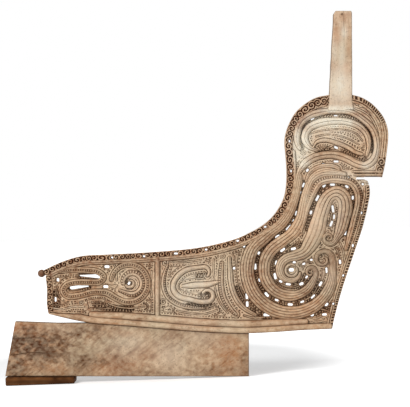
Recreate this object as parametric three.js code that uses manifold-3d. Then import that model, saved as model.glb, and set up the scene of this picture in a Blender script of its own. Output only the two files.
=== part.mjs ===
// Carved prow board of an outrigger canoe, standing on its hull tongue and a prop block.
// Millimetres, +Z up, +X towards the beaked head, carved faces towards -Y and +Y.
import * as THREE from 'three';
import { mergeVertices } from 'three/addons/utils/BufferGeometryUtils.js';
import Module from 'manifold-3d';

const wasm = await Module();
wasm.setup();

// Driving dimensions, in millimetres
const boardLength = 880; // knob to the front of the head
const boardHeight = 598; // lower edge to the crown of the head, without the post
const webThickness = 20; // sunk ground between the bands, pierced right through
const rimThickness = 32;
const bandThickness = 38;
const borderThickness = 44;
const lowerRidgeHeight = 15; // along the foot
const upperRidgeHeight = 18.5;
const upperRidgeShoulder = 0.7;
const upperRidgeStart = -405; // left of here the carved ground comes down to the lower ridge
const ridgeOverlap = 0.5;
const bandShoulder = 0.62; // height of a band's edge as a share of its crown
const rimShoulder = 0.8; // the same for the strips that edge the board
const edgeInset = 3; // the web stays this far inside the bands that edge it
const rimWidth = 14;
const rimRidgeWidth = 11;
const headRimWidth = 19;
const shoulderRimWidth = 15;
const panelThickness = 26;
const notchWidth = 4.5;
const knobRadius = 10;

const postRise = 211; // above the crown of the head
const postFootWidth = 58;
const postTopWidth = 46;
const postThickness = 36;
const postRoot = 36; // run of the post down into the head
const postFlare = 4; // widening of its foot to each side
const postFlareRise = 14;
const postLean = 1; // sideways, over its height
const postEdge = 2;
const postCorner = 7;

const tongueLength = 610;
const tongueTopLength = 585;
const tongueHeight = 108;
const tongueThickness = 36;
const hornRise = 29; // top of the tongue's tail above the right end of the seam
const hornDip = 4; // the tongue's top dips between its tail and the board's left foot
const hornLength = 105;
const tongueEdge = 1.5;
const tongueSeamStart = -396; // where the board's foot lifts off the tongue

const tenonHeight = 14;
const tenonThickness = 16;
const tenonStart = -392;
const tenonEnd = -18;
const tenonRoot = 5; // run of the tenon down into the tongue
const treenailDiameter = 8;
const treenailLength = 46;
const treenailCount = 4;
const treenailInTongue = 21; // below the shoulder of the tenon
const fit = 0.3; // clearance between pieces that touch

const blockLength = 171;
const blockDepth = 92;
const blockInset = 3.5; // short of the tongue's tail
const blockRise = 22; // lift of the tongue's tail above the ground
const blockRound = 3;

// The lean of the whole, because the block lifts the tongue's tail
const tilt = Math.asin(blockRise / tongueLength);

const facetTurn = THREE.MathUtils.degToRad(15); // turn of a carved line from one facet to the next
const longestFacet = 60;
const shortestFacet = 6;
const sampleStep = 2; // spacing of the points that a line's facets are chosen from
const narrowBand = 14; // a band up to this width comes to a ridge instead of a flat crown
const slitSides = 8;
const pinSides = 16;
const tipSteps = 6; // facets of a teardrop's blunt end
const taperRun = 3; // facets over which a band narrows at its end

// The board is drawn on its own sheet: u to the right, w up, from the seam's right end
const sheetLength = 880;
const sheetHeight = 598;
const at = ([u, w]) => new THREE.Vector2(
  (u * boardLength) / sheetLength,
  (w * boardHeight) / sheetHeight,
);

// Points of a spiral arc about (u, w), angles in degrees anticlockwise
function scroll(u, w, startRadius, startAngle, endRadius, endAngle) {
  const count = Math.max(2, Math.round(Math.abs(endAngle - startAngle) / 32));
  return Array.from({ length: count + 1 }, (_, i) => {
    const share = i / count;
    const radius = startRadius + (endRadius - startRadius) * share;
    const angle = THREE.MathUtils.degToRad(startAngle + (endAngle - startAngle) * share);
    return [u + radius * Math.cos(angle), w + radius * Math.sin(angle)];
  });
}

// Smooth line through sheet points, with a corner wherever it has turned or run far enough
function line(points, longest = longestFacet) {
  const knots = points.map((p) => new THREE.Vector3(...at(p), 0));
  const curve = new THREE.CatmullRomCurve3(knots, false, 'centripetal');
  const fine = curve.getSpacedPoints(Math.ceil(curve.getLength() / sampleStep));
  const kept = [0];
  let turned = 0;
  for (let i = 1; i < fine.length - 1; i += 1) {
    turned += fine[i].clone().sub(fine[i - 1]).angleTo(fine[i + 1].clone().sub(fine[i]));
    const start = kept[kept.length - 1];
    const rest = (fine.length - 1 - i) * sampleStep;
    const far = (i - start) * sampleStep > longest;
    if ((turned > facetTurn || far) && rest > shortestFacet && (i - start) * sampleStep > shortestFacet) {
      kept.push(i);
      turned = 0;
    }
  }
  kept.push(fine.length - 1);
  return kept.map((i) => new THREE.Vector2(fine[i].x, fine[i].y));
}

// Line beside another one, to its left where the distance is positive
function beside(points, distance) {
  return points.map((p, i) => {
    const before = points[Math.max(i - 1, 0)];
    const after = points[Math.min(i + 1, points.length - 1)];
    const along = after.clone().sub(before).normalize();
    return new THREE.Vector2(p.x - along.y * distance, p.y + along.x * distance);
  });
}

// Solids

function solidOf(geometry) {
  geometry.deleteAttribute('normal');
  geometry.deleteAttribute('uv');
  const merged = mergeVertices(geometry, 1e-4);
  return new wasm.Manifold(new wasm.Mesh({
    numProp: 3,
    vertProperties: Float32Array.from(merged.attributes.position.array),
    triVerts: Uint32Array.from(merged.index.array),
  }));
}

function geometryOf(solid) {
  const mesh = solid.getMesh();
  const geometry = new THREE.BufferGeometry();
  geometry.setAttribute('position', new THREE.BufferAttribute(mesh.vertProperties, 3));
  geometry.setIndex(new THREE.BufferAttribute(mesh.triVerts, 1));
  const flat = geometry.toNonIndexed();
  flat.computeVertexNormals();
  return flat;
}

const joined = (solids) => solids.reduce((sum, solid) => sum.add(solid));

// Slab of a sheet outline, centred on the board's middle plane
function slab(outline, thickness, bevel = 0) {
  const geometry = new THREE.ExtrudeGeometry(new THREE.Shape(outline), {
    depth: thickness - 2 * bevel,
    bevelEnabled: bevel > 0,
    bevelThickness: bevel,
    bevelSize: bevel,
    bevelOffset: -bevel,
    bevelSegments: 1,
    curveSegments: 8,
  });
  geometry.rotateX(Math.PI / 2);
  geometry.translate(0, thickness / 2 - bevel, 0);
  return solidOf(geometry);
}

// Band of bevelled section along a line, alike on both faces; its width may narrow at either end
function band(points, width, thickness, { head = 1, tail = 1, shoulder = bandShoulder } = {}) {
  const crown = thickness / 2;
  const edge = crown * shoulder;
  const front = width > narrowBand
    ? [[-1, -edge], [-0.5, -crown], [0.5, -crown], [1, -edge]]
    : [[-1, -edge], [0, -crown], [1, -edge]];
  const back = front.map(([across, depth]) => [across, -depth]).reverse();
  const section = [...front, ...back];
  const last = points.length - 1;
  const position = [];
  points.forEach((p, i) => {
    const along = points[Math.min(i + 1, last)].clone().sub(points[Math.max(i - 1, 0)]).normalize();
    const ease = Math.min(1, i / taperRun);
    const fade = Math.min(1, (last - i) / taperRun);
    const half = (width / 2) * (head + (1 - head) * ease) * (tail + (1 - tail) * fade);
    section.forEach(([across, depth]) => {
      position.push(p.x - along.y * across * half, depth, p.y + along.x * across * half);
    });
  });
  const ring = section.length;
  const index = [];
  for (let i = 0; i < last; i += 1) {
    for (let j = 0; j < ring; j += 1) {
      const a = i * ring + j;
      const b = i * ring + ((j + 1) % ring);
      index.push(a, a + ring, b, b, a + ring, b + ring);
    }
  }
  for (let j = 1; j < ring - 1; j += 1) {
    index.push(0, j, j + 1);
    index.push(last * ring, last * ring + j + 1, last * ring + j);
  }
  const geometry = new THREE.BufferGeometry();
  geometry.setAttribute('position', new THREE.Float32BufferAttribute(position, 3));
  geometry.setIndex(index);
  return solidOf(geometry);
}

// Slit right through the board, long along its own direction
function slit(centre, direction, length, width) {
  const outline = Array.from({ length: slitSides }, (_, i) => {
    const angle = (2 * Math.PI * (i + 0.5)) / slitSides;
    const along = (length / 2) * Math.cos(angle);
    const across = (width / 2) * Math.sin(angle);
    return new THREE.Vector2(
      centre.x + along * direction.x - across * direction.y,
      centre.y + along * direction.y + across * direction.x,
    );
  });
  return slab(outline, 2 * borderThickness);
}

// Edges of the board on the sheet

const footEdge = [
  [-503, 48], [-460, 38], [-422, 30], [-385, 24.5], [-320, 20], [-210, 11], [-135, 5], [-60, 1],
  [0, 0], [60, 2.5], [130, 7.5], [209, 11],
];
const endEdge = [[-509, 142], [-506, 110], [-506, 70], [-504, 52]];
const topEdge = [
  [-516, 157], [-472, 177], [-422, 192], [-360, 196], [-247, 202], [-122, 214], [-35, 235], [2, 251],
  [32, 268], [57, 289], [77, 316], [89, 343], [94, 373], [94, 413], [91, 453], [89, 478],
  [92, 501], [104, 531], [119, 555], [141, 575], [168, 590], [200, 597],
];
const domeEdge = [
  [258, 598], [279, 592], [294, 584.5], [309, 574], [324, 559], [336, 543], [344, 526], [349, 505],
  [349, 483], [342, 427], [334, 390],
];
const shoulderEdge = [
  [301, 371], [303, 357], [302.5, 342], [300, 329], [295.5, 307], [283, 258], [265, 204], [233, 107],
  [214, 36], [209, 11],
];
// The shoulder's rounded corner under the notch, and the notch's inner end
const shoulderCorner = [
  [268, 385.7], [289, 385.4], [297, 382], [301, 375], [302, 366], [286, 362], [268, 370],
];
const throat = [268, 385.7];

// Centre lines of the carved bands: width, then the line
const volute = [107, 157];
const outerBand = [
  [125, 401], [121, 368], [113, 333], [100, 301], [80, 273], [47, 247],
  ...scroll(...volute, 112, 152, 104, 366), ...scroll(186, 184, 21, 40, 17, 180),
];
const middleBand = [
  [245, 397], [217, 402], [185, 402], [160, 388], [146, 358], [137, 321], [129, 283], [112, 253],
  [85, 231], [56, 208], ...scroll(...volute, 70, 162, 60, 338), ...scroll(154, 152, 13, -10, 8, 170),
];
const innerBand = [
  [242, 206], [254, 243], [266, 288], [275, 326], [273, 355], [259, 375], [235, 383], [202, 384],
  [176, 375], [161, 348], [150, 313], [144, 278], [145, 238], [140, 211], [120, 195],
  ...scroll(...volute, 33, 111, 27, 345),
];
const voluteEye = scroll(...volute, 15, 50, 14, 400);
const hairpin = [
  [166, 208], [174, 253], [182, 293], [190, 326], [202, 344], [220, 351], [236, 341], [242, 317],
  [236, 288], [229, 258], [217, 235], [200, 226],
];
const beak = [[142, 378], [150, 398], [166, 412], [190, 419], [212, 418], [230, 410]];
const brow = [
  [120, 388], [126, 405], [141, 425], [165, 440], [192, 446], [222, 445], [247, 436], [270, 424],
  [292, 420], [311, 433], [320, 458], [319, 486], [309, 512], [287, 534], [257, 549], [220, 554],
  [185, 551], [155, 542], [132, 525], [121, 502], [121, 476], [130, 458],
];
const lid = [
  [174, 456], [152, 467], [141, 488], [150, 509], [173, 521], [207, 528], [247, 527], [279, 514],
  [296, 492], [299, 466], [294, 443],
];
const eyeBar = [[160, 464], [170, 478], [192, 483], [220, 476], [247, 465], [269, 452], [286, 447]];
const serpent = [
  [-482, 154], [-442, 158], [-400, 157], [-377, 153], [-364, 141], [-374, 128], [-402, 127], [-432, 127],
  [-456, 121], [-465, 107], [-454, 93], [-425, 94], [-392, 102], [-357, 101], [-332, 87],
  ...scroll(-300, 125, 48, -105, 46, 175),
];
const whorl = [[-326, 108], ...scroll(-293, 126, 30, -125, 22, 200)];
const kidney = [
  ...scroll(-113, 153, 14, -60, 13, 110), [-155, 159], [-177, 144], [-189, 124], [-188, 106],
  [-174, 91], [-147, 84], [-120, 78], ...scroll(-104, 94, 15, -70, 13, 160),
];
const kidneyBar = [[-170, 117], [-135, 120], [-102, 122], [-75, 129]];
const halo = [[-202, 173], [-211, 148], [-214, 121], [-205, 93], [-182, 74], [-147, 64], [-110, 62]];
const standard = [[-67, 181], [-70, 146], [-69, 113], [-61, 83], [-45, 59], [-29, 43]];
const fan = [[-49, 193], [-47, 158], [-44, 123], [-32, 88], [-10, 61], [20, 44]];
const divider = [[-229, 192], [-229, 110], [-229, 30]];
const chinUpper = [[257, 404], [337, 404]];
const chinLower = [[262, 396], [334, 396]];
const eyePanel = [
  [146, 470], [140, 489], [150, 510], [207, 528], [250, 527], [280, 514], [297, 490], [297, 447],
  [247, 466], [192, 484],
];

// Piercings, as rows of slits that follow the sunk strips between bands: [u, w, length, width]
const outerRow = [
  [137, 371, 12, 5], [124, 336, 11, 5], [119, 300, 12, 5], [100, 264, 18, 6], [72, 241, 13, 7],
  [40, 224, 16, 6], [16, 166, 15, 6], [27, 132, 9, 5], [45, 96, 14, 6], [70, 82, 10, 5],
  [104, 71, 13, 6], [134, 78, 10, 5], [161, 91, 13, 5], [180, 123, 13, 6],
];
const ringRow = [
  [112, 211, 13, 6], [85, 208, 14, 6], [65, 176, 11, 6], [64, 142, 16, 6], [77, 122, 9, 5],
  [99, 117, 13, 6], [135, 121, 11, 7], [146, 138, 8, 5],
];
const loopRow = [
  [151, 262, 10, 6], [156, 302, 10, 6], [172, 338, 16, 6], [189, 369, 10, 6], [210, 372, 13, 6],
  [246, 367, 10, 6], [261, 339, 10, 6], [256, 278, 16, 6], [248, 252, 14, 6],
];
const loopCore = [[211, 311, 18, 6], [212, 291, 12, 5], [207, 274, 15, 6]];
const fanRow = [[-5, 92, 15, 6], [-4, 72, 14, 6]];
const singles = [
  [107, 158, 13, 9, 0], [114, 177, 8, 5, 0], [175, 226, 8, 6, 60], [229, 178, 11, 6, 100],
  [195, 157, 14, 5, 95], [195, 71, 10, 7, 35], [190, 46, 12, 6, 0], [159, 45, 9, 7, 0],
  [45, 45, 17, 7, 0], [-37, 162, 6, 7, 0], [-356, 166, 13, 7, 0], [-359, 116, 13, 7, 0],
  [-479, 133, 7, 9, 0], [-485, 90, 5, 10, 0], [219, 465, 11, 6, -25], [219, 430, 13, 5, 0],
  [147, 408, 9, 6, 50], [250, 388, 6, 7, 0], [-301, 124, 8, 11, -30],
];
// Long openings between the loops of the serpent: blunt end, point, height
const serpentSlots = [[[-372, 142], [-420, 143], 9], [[-445, 114], [-402, 117], 10]];

// Teardrop opening that narrows to a point
function teardrop([blunt, tip, height]) {
  const from = at(blunt);
  const to = at(tip);
  const along = to.clone().sub(from).normalize();
  const outline = [to];
  for (let i = 0; i <= tipSteps; i += 1) {
    const angle = Math.PI * (0.5 + i / tipSteps);
    const back = (height / 2) * Math.cos(angle);
    const side = (height / 2) * Math.sin(angle);
    outline.push(new THREE.Vector2(
      from.x + back * along.x - side * along.y,
      from.y + back * along.y + side * along.x,
    ));
  }
  return slab(outline, 2 * borderThickness);
}

// Each slit of a row points from the slit before it to the one after it
function row(slits) {
  const centres = slits.map(at);
  return slits.map(([, , length, width], i) => {
    const before = centres[Math.max(i - 1, 0)];
    const after = centres[Math.min(i + 1, centres.length - 1)];
    return slit(centres[i], after.clone().sub(before).normalize(), length, width);
  });
}

function single([u, w, length, width, degrees]) {
  const angle = THREE.MathUtils.degToRad(degrees);
  return slit(at([u, w]), new THREE.Vector2(Math.cos(angle), Math.sin(angle)), length, width);
}

const topLine = line(topEdge, 45);
const domeLine = line(domeEdge);
const shoulderLine = line(shoulderEdge);
const endLine = line(endEdge);

// The line of the seam, shared by the board's foot and the tongue's shoulder
const seam = line(footEdge);
const seamHeightAt = (u) => {
  const next = Math.max(1, seam.findIndex((p) => p.x >= u));
  const [a, b] = [seam[next - 1], seam[next]];
  return a.y + ((b.y - a.y) * (u - a.x)) / (b.x - a.x);
};
const seamBetween = (start, end) => [
  new THREE.Vector2(start, seamHeightAt(start)),
  ...seam.filter((p) => p.x > start + 1 && p.x < end - 1),
  new THREE.Vector2(end, seamHeightAt(end)),
];
const raised = (points, height) => points.map((p) => new THREE.Vector2(p.x, p.y + height));
const treenailMiddle = (u) => seamHeightAt(u) - treenailInTongue + treenailLength / 2;
const treenailPlaces = Array.from({ length: treenailCount }, (_, i) => {
  const pitch = (tenonEnd - tenonStart) / treenailCount;
  return tenonStart + pitch * (i + 0.5);
});

function web() {
  return slab([
    ...beside(seam, edgeInset).slice(1, -1),
    ...beside(shoulderLine, -edgeInset).slice(0, -1).reverse(),
    at(throat),
    new THREE.Vector2(at(throat).x, at(throat).y + notchWidth),
    ...beside(domeLine, -edgeInset).reverse(),
    ...beside(topLine, -edgeInset).reverse(),
    ...beside(endLine, edgeInset).slice(1, -1),
  ], webThickness);
}

// Strips that edge the board: teeth are cut into them, and a plain ridge runs inside the top one
function edging() {
  const strip = (edge, side, width) => {
    const middleLine = beside(edge, (side * width) / 2);
    return band(middleLine, width, rimThickness, { shoulder: rimShoulder });
  };
  const ridgeLine = beside(topLine.slice(1), -(rimWidth + rimRidgeWidth / 2 - 1));
  return [
    strip(topLine, -1, rimWidth),
    band(ridgeLine.slice(0, -9), rimRidgeWidth, bandThickness),
    strip(domeLine, -1, headRimWidth),
    strip(shoulderLine, -1, shoulderRimWidth),
    slab(shoulderCorner.map(at).reverse(), rimThickness),
    strip(endLine, 1, rimWidth),
  ];
}

// Two plain ridges along the foot, thick enough to house the tenon
function border() {
  const lower = { shoulder: tongueThickness / borderThickness };
  const upper = { shoulder: upperRidgeShoulder };
  const upperMiddle = lowerRidgeHeight - ridgeOverlap + upperRidgeHeight / 2;
  const upperLine = seamBetween(upperRidgeStart, seam[seam.length - 1].x);
  return [
    band(beside(seam, lowerRidgeHeight / 2), lowerRidgeHeight, borderThickness, lower),
    band(beside(upperLine, upperMiddle), upperRidgeHeight, borderThickness, upper),
  ];
}

function scrollwork() {
  const carved = (points, width, options) => band(line(points), width, bandThickness, options);
  return [
    carved(outerBand, 35, { tail: 0.4 }),
    carved(middleBand, 30, { tail: 0.35 }),
    carved(innerBand, 20, { tail: 0.6 }),
    carved(voluteEye, 8),
    carved(hairpin, 35, { head: 0.8, tail: 0.4 }),
    carved(beak, 11),
    carved(brow, 19, { head: 0.6 }),
    carved(lid, 17, { head: 0.6, tail: 0.6 }),
    carved(eyeBar, 11),
    carved(chinUpper, 7),
    carved(chinLower, 7),
    carved(serpent, 16),
    carved(whorl, 14, { tail: 0.6 }),
    carved(kidney, 13, { head: 0.6, tail: 0.6 }),
    carved(kidneyBar, 17, { head: 0.5 }),
    carved(halo, 11),
    carved(standard, 14),
    carved(fan, 14, { head: 0.7 }),
    carved(divider, 13),
    slab(eyePanel.map(at), panelThickness),
  ];
}

// Plain tapering post, its foot let into the crown of the head
function post() {
  const { x: right, y: crown } = at([259, 596]);
  const left = right - postFootWidth;
  const foot = crown - postRoot;
  const top = crown + postRise;
  const topRight = right - postLean;
  const topLeft = topRight - postTopWidth;
  const outline = new THREE.Shape();
  outline.moveTo(left - postFlare, foot);
  outline.lineTo(right + postFlare, foot);
  outline.quadraticCurveTo(right, foot + postFlareRise, right, crown);
  outline.lineTo(topRight, top);
  outline.lineTo(topLeft + postCorner, top);
  outline.quadraticCurveTo(topLeft, top, topLeft, top - postCorner);
  outline.lineTo(left, crown);
  outline.quadraticCurveTo(left, foot + postFlareRise, left - postFlare, foot);
  return slab(outline.getPoints(3), postThickness, postEdge);
}

function knob() {
  const ball = new THREE.SphereGeometry(knobRadius, 10, 6);
  const centre = at([-520, 149]);
  ball.scale(1, rimThickness / 2 / knobRadius, 1);
  ball.translate(centre.x, 0, centre.y);
  return solidOf(ball);
}

// Stopped housing for the tenon and the treenail holes above it
function housing() {
  const low = seamBetween(tenonStart - fit, tenonEnd + fit);
  const outline = [...raised(low, -tenonRoot), ...raised(low, tenonHeight + fit).reverse()];
  const groove = slab(outline, tenonThickness + 2 * fit);
  return [groove, ...treenailPlaces.map((u) => treenailHole(u))];
}

function treenailHole(u) {
  const radius = treenailDiameter / 2 + fit;
  const hole = new THREE.CylinderGeometry(radius, radius, treenailLength + 2 * fit, pinSides);
  hole.rotateX(Math.PI / 2);
  hole.translate(u, 0, treenailMiddle(u));
  return solidOf(hole);
}

function prowBoard() {
  const body = joined([web(), ...edging(), ...border(), ...scrollwork(), post(), knob()]);
  const openings = [
    ...[outerRow, ringRow, loopRow, loopCore, fanRow].flatMap(row),
    ...singles.map(single),
    ...serpentSlots.map(teardrop),
  ];
  return body.subtract(joined([...openings, ...housing()]));
}

function hullTongue() {
  const shoulder = raised(seamBetween(tongueSeamStart, 0), -fit);
  const plank = slab([
    new THREE.Vector2(-tongueLength, -tongueHeight),
    new THREE.Vector2(0, -tongueHeight),
    ...shoulder.reverse(),
    new THREE.Vector2(hornLength - tongueTopLength, hornRise - hornDip),
    new THREE.Vector2(-tongueTopLength, hornRise),
  ], tongueThickness, tongueEdge);
  const low = seamBetween(tenonStart, tenonEnd);
  const tenon = slab([...raised(low, -tenonRoot), ...raised(low, tenonHeight).reverse()], tenonThickness);
  return plank.add(tenon).subtract(joined(treenailPlaces.map(treenailHole)));
}

function treenail() {
  const radius = treenailDiameter / 2;
  const pin = new THREE.CylinderGeometry(radius, radius, treenailLength, pinSides);
  pin.rotateX(Math.PI / 2);
  return pin;
}

// Wedge under the tongue's tail, its top parallel to the tongue's underside
function footBlock() {
  const under = (reach) => new THREE.Vector2(
    -reach * Math.cos(tilt) - fit * Math.sin(tilt),
    reach * Math.sin(tilt) - fit * Math.cos(tilt),
  );
  const far = under(tongueLength - blockInset);
  const near = under(tongueLength - blockInset - blockLength);
  const outline = new THREE.Shape();
  outline.moveTo(far.x, 0);
  outline.lineTo(near.x - blockRound, 0);
  outline.quadraticCurveTo(near.x, 0, near.x, blockRound);
  outline.lineTo(near.x, near.y);
  outline.lineTo(far.x, far.y);
  return geometryOf(slab(outline.getPoints(5), blockDepth));
}

const wood = (color, roughness) => new THREE.MeshStandardMaterial({ color, roughness, metalness: 0 });

function piece(name, geometry, material, u, v) {
  const mesh = new THREE.Mesh(geometry, material);
  mesh.name = name;
  mesh.position.set(u, 0, v);
  return mesh;
}

const leaning = new THREE.Group();
leaning.rotation.y = tilt;
leaning.add(piece('prow_board', geometryOf(prowBoard()), wood(0xa9845f, 0.78), 0, tongueHeight));
leaning.add(piece('hull_tongue', geometryOf(hullTongue()), wood(0xb08a62, 0.82), 0, tongueHeight));
treenailPlaces.forEach((u, i) => {
  const v = tongueHeight + treenailMiddle(u);
  leaning.add(piece(`treenail_${i + 1}`, treenail(), wood(0x7a5836, 0.85), u, v));
});

const standing = new THREE.Group();
standing.add(leaning);
standing.add(piece('foot_block', footBlock(), wood(0x3a2216, 0.85), 0, 0));

// The origin is below the middle of the whole, on the ground
const box = new THREE.Box3().setFromObject(standing, true);
const middle = box.getCenter(new THREE.Vector3());
standing.position.set(-middle.x, -middle.y, -box.min.z);

const part = new THREE.Group();
part.add(standing);
export default part;
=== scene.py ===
"""Carved prow board of an outrigger canoe on its hull tongue and prop block.

Every shape is drawn on the board's own sheet, in millimetres: u runs along the tongue to the
right, w runs up from the right end of the seam, and depth is positive towards the back.
"""

import math

import bpy
import numpy as np
from bpy.props import FloatProperty, FloatVectorProperty, PointerProperty
from mathutils import Matrix, Vector


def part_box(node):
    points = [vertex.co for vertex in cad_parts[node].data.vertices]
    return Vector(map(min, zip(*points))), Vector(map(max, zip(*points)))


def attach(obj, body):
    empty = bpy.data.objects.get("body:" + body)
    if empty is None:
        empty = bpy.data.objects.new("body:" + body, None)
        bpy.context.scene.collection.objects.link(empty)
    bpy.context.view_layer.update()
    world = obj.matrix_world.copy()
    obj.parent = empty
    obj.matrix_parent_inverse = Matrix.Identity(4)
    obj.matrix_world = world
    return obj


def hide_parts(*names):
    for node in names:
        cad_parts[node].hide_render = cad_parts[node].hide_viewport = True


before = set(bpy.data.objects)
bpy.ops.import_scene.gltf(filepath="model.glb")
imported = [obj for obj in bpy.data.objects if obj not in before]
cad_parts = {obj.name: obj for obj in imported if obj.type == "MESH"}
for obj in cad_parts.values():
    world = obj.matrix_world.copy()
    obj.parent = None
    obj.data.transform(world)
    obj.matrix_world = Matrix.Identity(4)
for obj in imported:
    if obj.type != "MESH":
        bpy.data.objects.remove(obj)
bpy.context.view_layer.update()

bl_info = {
    "name": "Carved prow board",
    "version": (1, 0, 0),
    "blender": (4, 5, 0),
    "location": "View3D > Sidebar > Prow board",
    "description": "Builds the carved board of an outrigger canoe on its hull tongue and prop block",
    "category": "Add Mesh",
}

# Plain timbers in millimetres, the lean in radians and the tongue's right corner in metres
TONGUE_LENGTH = 610.0
TONGUE_TOP_LENGTH = 585.0
TONGUE_HEIGHT = 108.0
BLOCK_RISE = 22.0
BLOCK_INSET = 3.5
FIT = 0.3
LEAN = math.asin(BLOCK_RISE / TONGUE_LENGTH)
CORNER_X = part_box("foot_block")[0].x + 0.001 * (
    (TONGUE_LENGTH - BLOCK_INSET) * math.cos(LEAN) + FIT * math.sin(LEAN))

# Half thicknesses: the web and what stands above it, then the sunk ground and its curls
WEB = 7.5
BAND = 19.0
RIM = 16.0
BORDER = 22.0
PANEL = 12.5
POST = 18.0
TONGUE = 18.0

SHALLOW = 10.2
DEEP = 4.5
UNDER_BANDS = 6.0
CURL_TOP = 14.0

# Half thickness of each kind of band at its crown and at its edges
PROFILES = {
    "band": (BAND - 0.6, 11.8),
    "rim_ridge": (BAND - 1, 14),
    "foot_lower": (BORDER - 0.6, 19),
    "foot_upper": (BORDER - 0.8, 17),
}

# Post, the left end of the seam, the block's rounding in metres, and the knob
POST_FOOT = 560.0
POST_TOP = 806.5
POST_ROUND = 3.0
POST_PIT = (233, 798)
SEAM_END = -396.0
BLOCK_ROUND = 0.003
BLOCK_CORNER = 0.22
KNOB = (-520, 149)
KNOB_HALF = (9.8, 15.0, 9.6)

# Cuts of a band, as shares of a ridge's width
GROOVE_HALF = 0.1
LIP_HALF = 0.22
GROOVE_LIMIT = 0.4
RIDGE_ROUND = 0.13
BEAD_NOTCH = 0.8
BLUNT_END = 0.02

# Cuts of the edge strips, as shares of the half width or of a tooth's pitch
LIP_START = 0.78
PLAIN_RIDGE = 0.62
TOOTH_LEAN = 0.3

# Pitches, places along the cheek, half widths and the teardrops' points, in millimetres
BEAD_PITCH = 5.8
CURL_LINE = 6.0
MOUTH_CURL = 19.0
BROW_END = 95
MOUTH_START = 185
DOME_HALF = 9.5
SHOULDER_HALF = 7.5
END_HALF = 7.0
TEARDROP_POINT = 1.4

# From the board's edge: the far side of the ridge under the rim, its lap, and the upper foot ridge
UNDER_RIM = 24.0
RIM_LAP = 1.0
UPPER_FOOT = 14.6

# Rows of the sunk ground, as shares of the pitch from one row to the next
LINE_HALF = 0.13
PIT_PLACE = 0.62
PIT_HALF = 0.17
TOOTH_FOOT = 0.1
TOOTH_END = 0.66
THIN_RIDGE = 0.68
FLANK = 0.1
CLOSE_TEETH = 0.88

# Half widths of the deep cuts, their slope, and how far the ground goes under what edges it
SLIT_CUT = 8.0
LINE_CUT = 6.0
CUT_SLOPE = 7.0
GROUND_INSET = 1.5
GROUND_LAP = 3.0

# Wear: wavelengths in millimetres, the lime's share of a cut, and the grain's depth in metres
WANDER_WAVE = 23
WORN_WAVE = 17
DIRT_WAVE = 28
STREAK_WAVES = (60, 5)
LIME_FILL = 0.6
GRAIN_DEPTH = 0.0006

# How finely things are worked out: degrees, counts, then millimetres and the least slope
SCROLL_STEP = 32
PLATE_SHARP = 42
RINGED_SHARP = 40
SPAN_POINTS = 24
ROUNDING_PASSES = 6
LATTICE = 64
LINE_STEP = 1.8
BEAD_STEP = 0.9
STRIP_STEP = 0.9
STRIP_ROW = 0.85
FIELD_STEP = 4.0
GROUND_CELL = 0.9
REACH = 26.0
NO_SLOT = 99.0
SLOT_WINDOW = (40, 20)
RIM_REACH = 0.8
RIM_MOVE = 1.2
SLOPE_STEP = 0.05
LEAST_SLOPE = 0.5

# Stage, in metres apart from the picture's middle and scale; a lamp has a place, size and watts
FLOOR_WHITE = 0.86
LIT_PLACE = (0.0, 0.0, 0.4)
LAMPS = {
    "key_lamp": ((-2.1, -2.4, 2.0), 1.2, 99),
    "fill_lamp": ((1.9, -2.2, 1.1), 1.6, 14),
}
CAMERA_DISTANCE = 4.5
SHEET_MIDDLE = (-110.0, 324.5)
PICTURE_WIDTH = 410
MILLIMETRES_A_PIXEL = 2.5


# Lines on the sheet

def scroll(u, w, start_radius, start_angle, end_radius, end_angle):
    """Spiral arc about (u, w): the radius changes evenly with the angle, in degrees anticlockwise."""
    share = np.linspace(0, 1, max(2, round(abs(end_angle - start_angle) / SCROLL_STEP)) + 1)
    radius = start_radius + (end_radius - start_radius) * share
    angle = np.radians(start_angle + (end_angle - start_angle) * share)
    return list(zip(u + radius * np.cos(angle), w + radius * np.sin(angle)))


def walked(points):
    """Length of the line up to each of its points."""
    return np.concatenate([[0], np.cumsum(np.hypot(*np.diff(points, axis=0).T))])


def resampled(line, step, half=0.0):
    """The line in even steps: the length up to each point, the points, and the half width there."""
    far = walked(line)
    stops = np.linspace(0, far[-1], max(2, round(far[-1] / step)) + 1)
    u, w, half = (np.interp(stops, far, np.broadcast_to(v, far.shape)) for v in (*line.T, half))
    return stops, np.column_stack([u, w]), half


def smooth_line(points, step=LINE_STEP):
    """Centripetal spline through the points, cut into even steps of its length."""
    p = np.asarray(points, float)
    ends = np.vstack([2 * p[0] - p[1], p, 2 * p[-1] - p[-2]])
    knot = np.concatenate([[0], np.cumsum(np.sqrt(np.hypot(*np.diff(ends, axis=0).T)))])
    t0, t1, t2, t3 = (knot[i:len(knot) - 3 + i, None] for i in range(4))
    t = t1 + (t2 - t1) * np.linspace(0, 1, SPAN_POINTS, endpoint=False)

    def between(a, b, ta, tb):
        """Straight step from a to b while t goes from ta to tb."""
        return a + (b - a) * ((t - ta) / (tb - ta))[..., None]

    a, b, c, d = (ends[i:len(ends) - 3 + i, None, :] for i in range(4))
    ab, bc, cd = between(a, b, t0, t1), between(b, c, t1, t2), between(c, d, t2, t3)
    curve = between(between(ab, bc, t0, t2), between(bc, cd, t1, t3), t1, t2).reshape(-1, 2)
    curve = np.vstack([curve, p[-1]])
    for _ in range(ROUNDING_PASSES):
        curve[1:-1] = (curve[:-2] + 2 * curve[1:-1] + curve[2:]) / 4
    return resampled(curve, step)[1]


def left_of(line):
    """Unit vectors square to the line, pointing to its left."""
    along = np.gradient(line, axis=0)
    along /= np.hypot(*along.T)[:, None]
    return np.column_stack([-along[:, 1], along[:, 0]])


def beside(line, distance):
    """The line moved to its left by a distance, which may change along it."""
    return line + left_of(line) * np.reshape(distance, (-1, 1))


def off_line(line, reach):
    """Sheet places u and w beside the line, each moved to its left by its own reach."""
    along_u, along_w = left_of(line).T
    return line[:, 0] + along_u * reach, line[:, 1] + along_w * reach


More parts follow.
